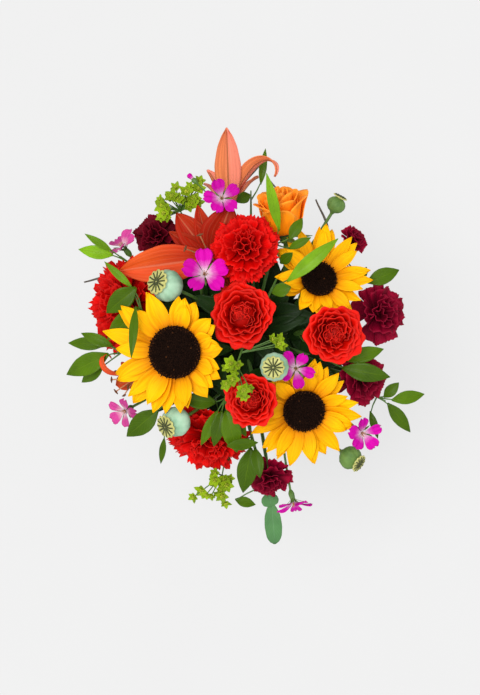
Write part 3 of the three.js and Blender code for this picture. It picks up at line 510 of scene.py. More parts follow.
def arched(length, width, lift, curl, shape, rows=12, cols=7, cup=0.0, tilt=0.0, wave=0.0, waves=2.0,
           phase=0.0, teeth=None, groove=0.0, roll=0.0, roll_from=0.7):
    """A blade that grows along +X from the origin with its face to +Z. It leaves at `lift` above the
    horizontal and bends up by `curl`. `cup` raises its edges, `tilt` raises one and lowers the other,
    `wave` ruffles it towards its end, `teeth` sets its columns back at the end, `groove` sinks its
    middle, and `roll` turns it down beyond the share `roll_from` of its length."""
    t = np.linspace(0, 1, rows)[:, None]
    s = np.linspace(-1, 1, cols)[None, :]
    reach = t * (1 - (teeth if teeth is not None else np.zeros(cols))[None, :])
    start, bend = math.radians(lift), math.radians(curl if abs(curl) > 0.5 else 0.5)
    rolled = np.maximum(reach - roll_from, 0) / (1 - roll_from)
    angle = start + bend * reach - math.radians(roll) * rolled**2
    step = np.diff(reach, axis=0, prepend=0) * length
    x = np.cumsum(step * np.cos(angle), axis=0)
    z = np.cumsum(step * np.sin(angle), axis=0)
    w = shape(t) * width
    rise = w * (cup * s**2 + tilt * s / 2 - groove * np.exp(-((s / 0.22) ** 2)))
    rise = rise + wave * width * t**1.3 * np.sin(math.pi * (waves * s + phase))
    return np.stack([x - rise * np.sin(angle), s * w / 2 + 0 * x, z + rise * np.cos(angle)], -1)


def about_axis(grid, turn, radius=0.0, height=0.0):
    """The grid moved out to a radius and up to a height, then turned about +Z."""
    grid = grid + [radius, 0, height]
    c, s = math.cos(math.radians(turn)), math.sin(math.radians(turn))
    return grid @ np.array([[c, s, 0], [-s, c, 0], [0, 0, 1]])


def bowl(turn, half, base, rim, round_off, roll, wave, waves, phase, rows=10, cols=13, point=2.6):
    """A petal that is a sector of a bowl, from base to rim, both [radius, height]. Its rim falls off
    by `round_off` at the sides, and comes to a point where `point` is small."""
    t = np.linspace(0, 1, rows)[:, None]
    s = np.linspace(-1, 1, cols)[None, :]
    u = t * (1 - round_off * np.abs(s) ** point)
    opening = 0.45 + 0.55 * np.sin(np.minimum(u * 1.4, 1) * math.pi / 2)
    angle = math.radians(turn) + math.radians(half) * s * opening
    over = np.maximum(u - 0.72, 0) / 0.28
    r = base[0] + (rim[0] - base[0]) * np.sin(u * math.pi / 2) + roll * over**2
    z = base[1] + (rim[1] - base[1]) * (1 - np.cos(u * math.pi / 2)) - roll * 0.55 * over**2
    r = r + wave * u**2 * np.sin(math.pi * (waves * s + phase))
    return np.stack([r * np.cos(angle), r * np.sin(angle), z], -1)


# ---- the layout, as in the solids

# Each bloom: where its petals meet its calyx, how far it leans from upright and towards where, its
# turn about its own axis, and its size. A bloom's kind is the first word of its name. What else it
# has is for the function that grows its kind.
BLOOMS = {
    "sunflower_left": dict(at=[-69.5, -12, 371], lean=12, to=190, spin=5, size=26, ray=34, sweep=0.4),
    "sunflower_back": dict(at=[72, 60, 336], lean=22, to=60, spin=9, size=18, ray=31, sweep=0.38),
    "sunflower_front": dict(at=[57.5, -70, 334], lean=17, to=292, spin=0, size=21, ray=34, sweep=0.12),
    "rose_middle": dict(at=[-3, 24, 350], lean=6, to=120, spin=0, size=34),
    "rose_right": dict(at=[85, 7.5, 354], lean=14, to=330, spin=40, size=31),
    "rose_low": dict(at=[6, -60, 370], lean=12, to=150, spin=20, size=28),
    "highrose_orange": dict(at=[39, 106, 318], lean=68, to=100, spin=10, size=29),
    "carnation_top": dict(at=[-1, 90, 350], lean=14, to=95, spin=0, size=35),
    "carnation_left": dict(at=[-115, 35, 294], lean=46, to=172, spin=12, size=40),
    "carnation_low": dict(at=[-36, -92, 303], lean=44, to=252, spin=30, size=38),
    "burgundy_right": dict(at=[130, 27, 300], lean=34, to=8, spin=0, size=29),
    "burgundy_small": dict(at=[106, 100, 300], lean=56, to=42, spin=15, size=15),
    "burgundy_left": dict(at=[-89, 103, 293], lean=22, to=130, spin=25, size=23),
    "burgundy_front": dict(at=[23, -135, 296], lean=44, to=279, spin=10, size=23),
    "burgundy_low": dict(at=[114, -38, 302], lean=30, to=345, spin=10, size=26),
    "lily_tall": dict(
        at=[-17, 127, 306], lean=104, to=91, spin=30, size=90, open=13, breadth=0.25,
        inner=[0.6, 0.5, 0.8], outer=[0.5, 1, 0.6],
    ),
    "lily_open": dict(
        at=[-34, 82, 323], lean=6, to=190, spin=8, size=98, open=44,
        inner=[0.6, 1, 0.3], outer=[0.58, 0.12, 0.26],
    ),
    "lily_left": dict(
        at=[-106, -36, 290], lean=52, to=200, spin=20, size=56, open=34, breadth=0.32,
        inner=[0.5, 1, 0.5], outer=[0.7, 0.5, 0.4],
    ),
    "pod_left": dict(at=[-68, 50, 350], lean=42, to=160, spin=0, size=16),
    "pod_right": dict(at=[87, 129, 300], lean=76, to=62, spin=0, size=9.5),
    "pod_middle": dict(at=[29, -26, 376], lean=6, to=200, spin=0, size=14),
    "pod_low": dict(at=[-60, -76, 344], lean=48, to=207, spin=0, size=15),
    "pod_front": dict(at=[97, -113, 304], lean=60, to=326, spin=0, size=12),
    "cockle_middle": dict(at=[-41, 64, 372], lean=20, to=60, spin=19, size=23),
    "cockle_top": dict(at=[-24, 140, 352], lean=10, to=90, spin=30, size=18),
    "cockle_left": dict(at=[-123, 93, 306], lean=66, to=130, spin=0, size=19),
    "cockle_pod": dict(at=[49, -28, 362], lean=8, to=300, spin=60, size=19),
    "cockle_right": dict(at=[116, -93, 320], lean=30, to=320, spin=20, size=18),
    "cockle_pink": dict(at=[-121, -71, 304], lean=40, to=210, spin=0, size=17),
    "cockle_front": dict(at=[48, -163, 290], lean=72, to=285, spin=0, size=18),
}

# Each plant is one stem through the tie, with a shoot for each bloom and each place in `reach`. One
# that is named as a bloom and gives no `blooms` carries that bloom. A place is [x, y, z], with the
# shoot's lean and heading where it has its own. Each leaf is [where its blade begins, its tip, its
# width], and `stars` are where the stars of bracts stand.
PLANTS = {
    "sunflower_left": dict(radius=4.2),
    "sunflower_back": dict(radius=3.8),
    "sunflower_front": dict(radius=3.8),
    "rose_spray": dict(radius=2.8, blooms=["rose_middle", "rose_low"]),
    "rose_right": dict(radius=2.8),
    "highrose_orange": dict(radius=2.8),
    "carnation_top": dict(radius=2.2),
    "carnation_left": dict(radius=2.2),
    "carnation_low": dict(radius=2.2),
    "burgundy_right": dict(
        radius=1.9,
        blooms=["burgundy_right", "burgundy_small"],
        leaves=[
            [[122, 58, 308], [155, 71, 300], 17], [[114, 60, 306], [122, 74, 304], 9],
        ],
    ),
    "burgundy_left": dict(radius=1.9),
    "burgundy_low": dict(radius=1.9),
    "burgundy_front": dict(radius=1.9),
    "lily_tall": dict(radius=3.2, blooms=["lily_open", "lily_tall"]),
    "lily_left": dict(radius=2.6),
    "pod_left": dict(radius=1.6),
    "pod_right": dict(radius=1.6),
    "pod_middle": dict(radius=1.6),
    "pod_low": dict(radius=1.6),
    "pod_front": dict(radius=1.6),
    "cockle_upper": dict(radius=1.6, blooms=["cockle_middle", "cockle_top", "cockle_left"]),
    "cockle_lower": dict(radius=1.6, blooms=["cockle_pod", "cockle_right", "cockle_front"]),
    "cockle_pink": dict(radius=1.4),
    "leafy_left": dict(
        radius=2.2,
        reach=[[-110, 26, 352], [-134, -14, 312], [-126, 84, 322, 30, 160]],
        leaves=[
            [[-109, 52, 352], [-139, 27, 340], 22], [[-106, 32, 354], [-138, 0, 338], 20],
            [[-108, 33, 384], [-112, -18, 396], 9], [[-113, 52, 350], [-141, 78, 344], 8],
            [[-133, 85, 326], [-168, 91, 322], 14], [[-134, 89, 330], [-161, 106, 334], 8],
            [[-138, -14, 312], [-182, -35, 290], 22], [[-140, -4, 308], [-180, -3, 296], 14],
            [[-134, -6, 318], [-166, 7, 312], 12], [[-144, -26, 304], [-167, -43, 284], 13],
        ],
    ),
    "leafy_front": dict(
        radius=2.2,
        reach=[[-23, -64, 344], [-84, -66, 330], [6, -104, 318], [20, -158, 266]],
        leaves=[
            [[-28, -70, 346], [-45, -105, 340], 12], [[-24, -70, 350], [-32, -106, 344], 14],
            [[-20, -70, 352], [-9, -112, 341], 20], [[-18, -64, 346], [0, -96, 338], 15],
            [[-30, -62, 352], [-64, -58, 360], 17], [[-19, -105, 354], [12, -102, 343], 12],
            [[5, -108, 322], [-3, -154, 306], 21], [[9, -108, 326], [14, -138, 330], 13],
            [[-88, -70, 328], [-120, -97, 312], 22], [[-92, -60, 336], [-72, -52, 346], 10],
            [[-82, -98, 318], [-86, -125, 304], 7], [[26, -166, 266], [30, -210, 250], 18],
            [[23, -156, 270], [26, -170, 266], 18], [[-11, -163, 264], [10, -169, 260], 11],
        ],
    ),
    "leafy_right": dict(
        radius=2.2,
        reach=[[92, -24, 322], [142, -62, 286]],
        leaves=[
            [[99, -20, 326], [138, -9, 324], 16], [[96, -28, 336], [144, -37, 334], 19],
            [[140, -58, 292], [155, -43, 296], 12], [[148, -61, 288], [182, -55, 280], 14],
            [[144, -64, 286], [168, -94, 274], 14], [[126, -72, 292], [134, -100, 290], 8],
        ],
    ),
    "leafy_top": dict(
        radius=2.2,
        reach=[[30, 60, 354], [31, 104, 346], [5, 151, 304]],
        leaves=[
            [[40, 57, 388], [90, 99, 390], 15], [[44, 52, 378], [25, 46, 370], 14],
            [[34, 76, 352], [46, 86, 366], 11], [[42, 90, 362], [64, 101, 368], 9],
            [[43, 100, 352], [56, 121, 348], 12], [[33, 108, 356], [20, 164, 376], 11],
            [[4, 146, 320], [-10, 138, 328], 12], [[15, 158, 286], [20, 195, 284], 8],
        ],
    ),
    "wax_upper": dict(
        radius=1.6,
        reach=[[-70, 138, 314]],
        stars=[
            [-84, 134, 326], [-82, 127, 328], [-74, 144, 328],
            [-60, 148, 328], [-54, 138, 326], [-48, 151, 326],
        ],
    ),
    "wax_lower": dict(
        radius=1.6,
        reach=[[-12, -31, 378], [-26, -148, 292]],
        stars=[
            [-15, -23, 392], [-13, -38, 400], [-3, -48, 406], [31, -4, 364],
            [-31, -141, 300], [-20, -146, 302], [-24, -157, 298], [-44, -152, 296],
        ],
    ),
    "bare_twig_left": dict(
        radius=2,
        reach=[[-165, 59, 280, 94, 214], [15, 179, 276, 90, 34]],
    ),
    "bare_twig_right": dict(
        radius=2,
        reach=[[71, 143, 286, 92, 158], [21, 167, 286, 80, 150]],
    ),
}

# ---- blooms, in their own frames

# Each gives its growths by name, as (growth, slot), its calyx, which belongs to the stem, and how far
# below the origin the calyx ends. The origin is where the petals meet the calyx.

GOLDEN = 137.508  # degrees from each petal or floret of a spiral to the next
rng = random.Random(11)
between = rng.uniform


def around(count, start=0.0, jitter=0.0):
    """Even turns about the axis, each up to `jitter` degrees off."""
    return [start + 360.0 * k / count + between(-jitter, jitter) for k in range(count)]


def sunflower(size, ray, sweep, spin, to, **_):
    """Rays in three whorls round a seed disc, longer on the side that it leans to by `sweep`."""
    petals = Growth()
    whorls = [
        dict(count=13, share=1.0, lift=4, curl=-8, height=-1.2),
        dict(count=12, share=1.0, lift=11, curl=-12, height=-0.4),
        dict(count=7, share=0.8, lift=20, curl=-14, height=0.6),
    ]
    for k, whorl in enumerate(whorls):
        for turn in around(whorl["count"], 13.0 * k, 9.0):
            long = 1 + sweep * math.cos(math.radians(turn + spin - to))
            grid = arched(
                ray * long * whorl["share"] * between(0.85, 1.1) + 2, 6 + size * between(0.38, 0.56),
                whorl["lift"] + between(-4, 4), whorl["curl"] + between(-10, 8), LANCE,
                rows=13, cols=9, cup=between(-0.04, 0.16), tilt=between(-0.4, 0.4),
                groove=0.04, wave=0.05, phase=rng.random(), roll=between(-40, 40),
            )
            petals.blade(about_axis(grid, turn, size * 0.93, whorl["height"]), "ray", rng.random())
    parts = {"petals": (petals, "sun_yellow"), "disc": (seed_disc(size), "seed_brown")}
    return parts, bracted_base(size), 15


FLORET_DENSITY = 0.55  # florets to each square of the disc's radius
OUTER_FLORETS = 0.86  # the share of the radius beyond which they stand tall


def seed_disc(radius):
    """A dome, dished in the middle, set with florets in crossing spirals, taller towards the rim."""
    def height(share):
        return 4.0 + 7 * share * (1.2 - share)

    disc = Growth()
    shares = np.linspace(0, 1, 9)[::-1]
    dome = [[max(radius * share, 0.3), height(share) - 1.0] for share in shares]
    disc.turned([[radius * 0.8, 1.5], [radius, 3.2], *dome], 36, "disc", 0.2)
    count = int(FLORET_DENSITY * radius**2)
    for k in range(count):
        share = math.sqrt((k + 0.5) / count)
        out = leaning(90, GOLDEN * k)
        outer = share > OUTER_FLORETS
        tall = (2.6 if outer else 1.3 + 0.8 * share) * between(0.8, 1.2)
        r = radius / math.sqrt(count) * (0.62 if outer else 0.8)
        profile = [[r * 0.8, 0], [r * 0.9, tall * 0.55], [r * 0.3, tall]]
        floret = Growth()
        floret.turned(profile, 5, "disc_rim" if outer or rng.random() < 0.02 else "disc", rng.random())
        lean, spot = out * (0.5 * share), out * (radius * share) + UP * (height(share) - 1.2)
        floret.move(lambda p: p + p[:, 2:] * lean + spot)
        disc.take(floret)
    return disc


def bracted_base(size):
    """The green underside of a sunflower, with three whorls of pointed bracts."""
    base = Growth()
    profile = [[3.6, -15], [size * 0.3, -12], [size * 0.52, -8], [size * 0.75, -3.4], [size * 0.86, -1.9]]
    base.turned(profile, 28, "stem", 0.6)
    for k, (radius, height, lift) in enumerate([(0.5, -9.0, -22), (0.66, -6.4, -12), (0.78, -4.6, -6)]):
        for turn in around(11, 16.0 * k, 6.0):
            grid = arched(size * between(0.55, 0.8), size * 0.34, lift + between(-8, 4), 4, LANCE,
                          rows=7, cols=5, cup=0.1)
            base.blade(about_axis(grid, turn, size * radius, height), "leaf", between(0.4, 1))
    return base


def rose(size, **_):
    """An old garden rose: broad outer petals round a heart of small ones, folded in lobes."""
    bloom = Growth()
    # The core takes the darkest tint and the heart's lobes low ones: painted shade deep in the rose.
    core = np.array([[0.05, 0.03], [0.3, 0.08], [0.42, 0.3], [0.3, 0.46], [0.03, 0.5]])
    bloom.turned(core * size, 20, "rose", 0.0)
    lobes = [(0, 0.0)] + [(turn, between(0.16, 0.25)) for turn in around(5, 20, 14)]
    for turn, out in lobes:
        for k in range(4):
            f = (k + 0.5) / 4
            grid = bowl(
                between(-180, 180), between(55, 95), (size * 0.02, size * 0.05),
                (size * (0.03 + 0.21 * f), size * between(0.58, 0.70)), 0.12, size * 0.02, size * 0.025,
                between(1.5, 3.5), between(0, 2), rows=9, cols=13,
            )
            grid = about_axis(grid, turn + between(-10, 10), size * out)
            bloom.blade(grid, "rose", between(0.0, 0.7))
    count = 24
    for k in range(count):
        f = (k + 0.5) / count
        turn, half = GOLDEN * k + between(-14, 14), between(30, 48)
        reach = size * (0.46 + 0.42 * f) * between(0.95, 1.05)
        rise = size * (0.66 - 0.32 * f**1.5) * between(0.95, 1.05)
        grid = bowl(
            turn, half, (size * 0.08 * (1 + 2 * f), size * 0.05), (reach, rise), 0.1 + 0.1 * f,
            size * (0.04 + 0.12 * f), size * (0.035 + 0.02 * f), between(1.6, 3.2), between(0, 2),
            rows=11, cols=15,
        )
        # Petals further in take lower tints, darker: painted shade, with random tone.
        bloom.blade(grid, "rose", 0.45 + 0.4 * f + between(-0.25, 0.2))
    return {"bloom": (bloom, "rose_red")}, sepal_cup(size * 0.2, size * 0.62), 9


def highrose(size, **_):
    """A high-centred rose: tall petals furled close, with only their rims rolled out."""
    bloom = Growth()
    count = 20
    for k in range(count):
        f = (k + 0.5) / count
        grid = bowl(
            GOLDEN * k - 60, 86 - 36 * f, (size * 0.08 * (1 + 2 * f), size * 0.06),
            (size * (0.06 + 0.82 * f), size * (1.76 - 0.28 * f)), 0.10 + 0.24 * f,
            size * (0.02 + 0.42 * f**2), size * 0.03, 1.4, between(0, 2),
            rows=15, cols=15, point=2.6 - 1.3 * f,
        )
        bloom.blade(grid, "highrose", between(0.2, 0.9))
    return {"bloom": (bloom, "rose_orange")}, sepal_cup(size * 0.22, size * 0.8), 9


def sepal_cup(radius, sepal):
    """A rose's hip with its five sepals, some hanging and some spread."""
    cup = Growth()
    profile = [[2.4, -9.5], [radius * 0.8, -8], [radius, -5], [radius * 0.8, -1.5], [radius * 0.9, -0.3]]
    cup.turned(profile, 18, "sepal", 0.5)
    for turn in around(5, 0, 6.0):
        grid = arched(sepal, 7.5, -20 + between(-18, 25), 26, LANCE, rows=9, cols=5, cup=0.15, wave=0.05)
        cup.blade(about_axis(grid, turn, radius * 0.75, -2.0), "sepal", rng.random())
    return cup


def toothed(cols, deep):
    """How far back each column of a fringed rim is set, as a share of the petal's length."""
    return np.array([between(0.0, deep) + (deep * 0.5 if j % 2 else 0) for j in range(cols)])


def pink(size, skin, slot, rings, spread, deep, fullness=1.0):
    """A carnation: broad toothed fans in rings of [count, reach, lift], level outside and upright
    within, and longer by the factor `fullness`."""
    bloom = Growth()
    core = np.array([[0.04, 0.02], [0.14, 0.06], [0.14, 0.3], [0.02, 0.36]])
    # The core takes the darkest tint: painted shade at the heart of the bloom.
    bloom.turned(core * size, 14, skin, 0.0)
    cols = 17
    for k, (count, reach, lift) in enumerate(rings):
        for turn in around(count, 41.0 * k, 12.0):
            length = size * fullness * reach * between(0.92, 1.06)
            width = size * fullness * spread * (0.62 + 0.4 * reach)
            grid = arched(
                length, width, lift + between(-9, 9), between(-8, 14), FAN,
                rows=11, cols=cols, cup=between(-0.1, 0.12), tilt=between(-0.35, 0.35),
                wave=between(0.03, 0.08), waves=between(1.8, 3.4), phase=between(0, 2),
                teeth=toothed(cols, deep),
            )
            grid = about_axis(grid, turn, size * 0.06, size * (0.10 + 0.24 * lift / 90))
            # Upright inner petals take lower tints, darker: painted shade deep in the bloom, with random
            # tone.
            bloom.blade(grid, skin, 0.75 - 0.5 * lift / 90 + between(-0.2, 0.25))
    depth = size * 0.75
    calyx = Growth()
    profile = [[2.0, -depth], [size * 0.11, -depth * 0.85], [size * 0.13, -depth * 0.4], [size * 0.12, -0.3]]
    calyx.turned(profile, 14, "sepal", 0.6)
    for turn in around(5):
        grid = arched(size * 0.2, size * 0.12, 78, -20, LANCE, rows=5, cols=3)
        calyx.blade(about_axis(grid, turn, size * 0.125, -3.0), "sepal", 0.6, 0.4)
    return {"bloom": (bloom, slot)}, calyx, depth


def carnation(size, fullness=1.0, **_):
    """A full carnation, finely toothed."""
    rings = [(9, 0.96, 0), (8, 0.90, 9), (7, 0.80, 21), (5, 0.66, 40), (5, 0.52, 60), (4, 0.44, 78)]
    return pink(size, "carnation", "carnation_red", rings, 0.86, 0.09, fullness)


def burgundy(size, skin="burgundy", **_):
    """A smaller dark pink, with fewer petals and smoother rims."""
    rings = [(6, 0.98, 4), (5, 0.86, 24), (5, 0.70, 46), (4, 0.55, 70)]
    return pink(size, skin, "burgundy", rings, 0.98, 0.035)


def lily(size, open, inner=(1, 1, 1), outer=(1, 1, 1), breadth=0.4, skin="lily", short_skin=None,
         recurve=(0, 0, 0), extra=(), stamens=(30, 90, 150, 210, 270, 330), **_):
    """A lily of six tepals. `recurve` rolls its inner ones back further. `extra` are the tepals that
    show of a bloom under it, as [turn, share of the size, lift, roll]. The tepals that others crowd
    may have a skin of their own, `short_skin`, which is darker: partly a deeper red, partly painted
    shade from the blooms over them."""
    short_skin = short_skin or skin
    bloom = Growth()
    lift, curl = 84 - 1.35 * open, -0.5 * open - 18
    tepals = [(120 + 120 * k, outer[k], 0.3, lift, curl, 16, 2.5) for k in range(3)]
    for k, back in enumerate(recurve):
        tepals.append((60 + 120 * k, 0.96 * inner[k], breadth, lift + 6, curl - 0.3 * back, 16 + back, 7.0))
    for turn, share, rise, roll in extra:
        tepals.append((turn, share, 0.2, rise, -20, roll, 1.0))
    for turn, share, width, rise, bend, roll, height in tepals:
        grid = arched(
            size * share, size * width, rise, bend, TEPAL, rows=31, cols=13, cup=0.13, groove=0.06,
            wave=0.04, waves=3.0, phase=rng.random(), roll=roll, roll_from=0.7 if roll < 30 else 0.42,
        )
        # Shorter tepals, which others crowd, take the darker skin and lower tints: partly a deeper red,
        # partly painted shade, with random tone.
        own_skin = skin if share > 0.9 else short_skin
        bloom.blade(about_axis(grid, turn, 2.0, height), own_skin, share * between(0.3, 0.95), 0.7)
    t = np.linspace(0, 1, 8)
    for turn in stamens:
        lean = math.radians(14 + 0.4 * open)
        reach = size * 0.42
        path = np.stack([2 + reach * t**1.3 * math.sin(lean), 0 * t, 8 + reach * t * math.cos(lean)], 1)
        path = about_axis(path, turn)
        bloom.tube(path, 0.7, "style", 0.5, 6)
        across = np.cross([0, 0, 1.0], path[-1] - path[-2])
        across *= 3.4 / max(norm(across), 1e-6)
        bloom.tube([path[-1] - across, path[-1], path[-1] + across], [0.5, 1.3, 0.5], "anther", 0.5, 6)
    calyx = Growth()
    calyx.turned([[2.0, -6.5], [2.8, -3], [3.2, -0.3]], 12, "sepal", 0.7)
    return {"bloom": (bloom, "lily_coral")}, calyx, 6


def pod(size, skin="pod", **_):
    """A ripe poppy capsule: ribbed, narrow at its neck, under a scalloped crown with dark rays."""
    capsule = Growth()
    ribs = 12

    def ribbed(turn, z):
        return 1 + 0.02 * np.cos(ribs * turn) * np.clip(z / size, 0, 1)

    def scalloped(turn, _):
        return 1 - 0.13 * (1 - np.abs(np.cos(ribs * turn / 2)))

    body = [
        [0.2, -0.1], [0.3, 0.08], [0.62, 0.24], [0.86, 0.48], [0.98, 0.78],
        [1.0, 1.04], [0.93, 1.3], [0.74, 1.56], [0.48, 1.72], [0.36, 1.82],
    ]
    top = [[0.36, 1.8], [0.74, 1.86], [0.82, 1.93], [0.76, 1.98], [0.36, 1.99], [0.04, 2.02]]
    capsule.turned(np.array(body) * size, 72, skin, 0.5, ribbed)
    capsule.turned(np.array(top) * size, 72, "crown", 0.5, scalloped)
    for turn in around(ribs):
        path = np.array([[0.06, 0, 2.03], [0.35, 0, 2.0], [0.68, 0, 1.98]]) * size
        radii = np.array([0.04, 0.055, 0.05]) * size
        capsule.tube(about_axis(path, turn), radii, "crown_ray", rng.random(), 6)
    return {}, capsule, size * 0.1


def cockle(size, skin="cockle", **_):
    """A corn cockle: five spoon-shaped petals out of a ribbed calyx with long tips."""
    bloom = Growth()
    s = np.linspace(-1, 1, 11)
    notched = 0.07 * np.abs(s) ** 3 + 0.09 * np.exp(-((s / 0.22) ** 2)) + 0.02 * np.sin(9 * s)
    for turn in around(5, 0, 6):
        grid = arched(
            size * between(0.9, 1.1), size * between(0.62, 0.86), 32 + between(-9, 9), -28,
            SPOON, rows=13, cols=11, cup=0.1, tilt=between(-0.2, 0.4), wave=0.07, waves=2.2,
            phase=rng.random(), teeth=notched,
        )
        bloom.blade(about_axis(grid, turn, 1.2, 1.4), skin, rng.random(), 0.45)
    for turn in around(5, 36):
        path = about_axis(np.array([[0.8, 0, 1], [1.6, 0, 5], [2.4, 0, size * 0.34]]), turn)
        bloom.tube(path, 0.35, "style", 0.4, 5)
    calyx = Growth()
    tube = [[1.1, -12], [2.2, -10], [2.9, -7.5], [2.6, -4], [1.9, -0.4]]
    calyx.turned(tube, 40, "sepal", 0.6, lambda turn, _: 1 + 0.1 * np.cos(10 * turn))
    for turn in around(5, 36):
        grid = arched(size * 0.62, 2.6, 52, -28, LANCE, rows=7, cols=3)
        calyx.blade(about_axis(grid, turn, 1.9, -2), "sepal", 0.7, 0.4)
    return {"bloom": (bloom, "cockle_magenta")}, calyx, 12


KINDS = {grow.__name__: grow for grow in (sunflower, rose, highrose, carnation, burgundy, lily, pod, cockle)}

# What single blooms have of their own, apart from the layout.
OWN_WAYS = {
    "burgundy_left": dict(skin="dark_burgundy"),
    "carnation_left": dict(fullness=1.24),
    "carnation_low": dict(fullness=1.1),
    "cockle_pink": dict(skin="pink_cockle"),
    "cockle_left": dict(skin="pink_cockle"),
    "lily_tall": dict(skin="pale_lily", recurve=(0, 0, 120), inner=[0.6, 0.5, 1.05]),
    "lily_left": dict(inner=[0.4, 0.45, 0.4], outer=[0.4, 0.35, 0.3], extra=[(90, 1.2, 76, 225)]),
    "lily_open": dict(
        short_skin="dark_lily", stamens=(100, 150, 200),
        extra=[(96, 0.55, 22, 10), (140, 0.5, 22, 10), (290, 0.42, 22, 10)],
    ),
    "pod_right": dict(skin="green_pod"),
    "pod_front": dict(skin="green_pod"),
}

facings, calyxes, feet = {}, {}, {}
for name, bloom in BLOOMS.items():
    facings[name] = leaning(bloom["lean"], bloom["to"])
    parts, calyxes[name], feet[name] = KINDS[name.split("_")[0]](**{**bloom, **OWN_WAYS.get(name, {})})
    for part, (growth, slot) in parts.items():
        growth.stand(facings[name], bloom["at"], bloom["spin"])
        growth.finish(f"{name}_{part}_grown", slot, f"{name}_{part}")
    calyxes[name].stand(facings[name], bloom["at"], bloom["spin"])

# ---- the ways of the stems

TIE_HEIGHT = 158.0
SPLAY = 3.9  # how many times wider the stems stand at the floor than at the tie
SLOPE = math.sqrt(SPLAY * SPLAY - 1) / TIE_HEIGHT
STEM_GAP = 0.5  # clear space between neighbouring stems in the tie
TURN_TO_BLOOM = 52.0  # degrees that a stem turns round the axis from the tie to its bloom
SLOT_SHARE = 0.2  # how far out a stem is before the packing, as a share of how far out it ends
PACKING_ROUNDS, DRAW_IN, SETTLING_ROUNDS = 400, 0.985, 6
BRANCH = 0.75  # how thick a fork is, as a share of its stem
STRAIGHT = 26.0  # how far the stems run straight on above the tie
APPROACH = 60.0  # how far below its end a main stem already points to it
LEAF_LEAN = 60.0  # how far a leafy shoot leans out at its end
LEAVE, ARRIVE = 0.36, 0.32  # how far a shoot keeps to its first and last ways, as shares of its span
MAIN_PIECES = 5  # straight pieces along the bent part of a main stem
FORK_PIECES = 4  # and along a fork
FORK_JOINTS = [2, 3, 4]  # joints of the main shoot that its forks leave from, in turn
SHOOT_GAP = 0.8  # clear space between the shoots of different plants
EASING_ROUNDS = 80


def shoot_ends(blooms, reach=(), **_):
    """Where each shoot of a plant stops, and the way it faces there."""
    ends = []
    for name in blooms:
        ends.append((BLOOMS[name]["at"] - facings[name] * feet[name], facings[name]))
    for x, y, z, *way in reach:
        lean, to = way or (LEAF_LEAN, math.degrees(math.atan2(y, x)))
        ends.append((np.array([x, y, z], float), leaning(lean, to)))
    return ends


def pack_tie(plants):
    """Where each stem passes through the tie, packed round the axis without touching."""
    names = list(plants)
    radii = [plants[name]["radius"] for name in names]
    turn = complex(math.cos(math.radians(-TURN_TO_BLOOM)), math.sin(math.radians(-TURN_TO_BLOOM)))
    spots = []
    for name in names:
        point, facing = plants[name]["ends"][0]
        under = point - facing * APPROACH
        spots.append(complex(under[0], under[1]) * turn * SLOT_SHARE)
    for _ in range(PACKING_ROUNDS):
        spots = [spot * DRAW_IN for spot in spots]
        for _ in range(SETTLING_ROUNDS):
            for i, j in itertools.permutations(range(len(names)), 2):
                apart = spots[i] - spots[j]
                short = radii[i] + radii[j] + STEM_GAP - abs(apart)
                if short > 0:
                    push = apart / abs(apart) * short / 2
                    spots[i] += push
                    spots[j] -= push
    return {name: np.array([spot.real, spot.imag, 0.0]) for name, spot in zip(names, spots)}


def swing(start, way, end, pieces):
    """A smooth way from one point and direction to a shoot's end, as joints after the first."""
    point, facing = end
    span = norm(point - start)
    a, b = start + way * span * LEAVE, point - facing * span * ARRIVE
    t = np.linspace(0, 1, 201)[:, None]
    curve = (1 - t) ** 3 * start + 3 * (1 - t) ** 2 * t * a + 3 * (1 - t) * t**2 * b + t**3 * point
    lengths = np.concatenate([[0], np.cumsum(norm(np.diff(curve, axis=0), axis=1))])
    at = np.linspace(0, lengths[-1], pieces + 1)[1:]
    return [np.array([np.interp(s, lengths, curve[:, k]) for k in range(3)]) for s in at]


def grow_shoots(name, slot, plant):
    """A plant's main shoot, from the floor through its slot in the tie, and its forks. Joints before
    `free` stay in place."""
    way = unit(np.array([-slot[1] * SLOPE, slot[0] * SLOPE, 1.0]))
    start = slot + UP * TIE_HEIGHT
    bend = start + way * STRAIGHT
    main = [start - way * TIE_HEIGHT / way[2], bend, *swing(bend, way, plant["ends"][0], MAIN_PIECES)]
    shoots = [dict(plant=name, radius=plant["radius"], joints=main, free=2)]
    for k, end in enumerate(plant["ends"][1:]):
        joint = FORK_JOINTS[k % len(FORK_JOINTS)]
        ahead = unit(main[joint + 1] - main[joint - 1])
        joints = [main[joint], *swing(main[joint], ahead, end, FORK_PIECES)]
        shoots.append(dict(plant=name, radius=plant["radius"] * BRANCH, joints=joints, free=1))
    return shoots


def nearest_points(p, q, r, s):
    """The nearest points of the pieces p-q and r-s."""
    d, e, f = q - p, s - r, p - r
    a, b, c, g, h = d @ d, d @ e, d @ f, e @ e, e @ f
    whole = a * g - b * b
    u = min(max((b * h - c * g) / whole, 0), 1) if whole > 1e-12 else 0.0
    v = (b * u + h) / g
    if v < 0:
        v, u = 0.0, min(max(-c / a, 0), 1)
    elif v > 1:
        v, u = 1.0, min(max((b - c) / a, 0), 1)
    return p + d * u, r + e * v


def far_apart(a, b, room):
    """Whether the boxes round two sets of points are more than `room` apart."""
    for here, there in ((a, b), (b, a)):
        if (reduce(np.minimum, here) > reduce(np.maximum, there) + room).any():
            return True
    return False


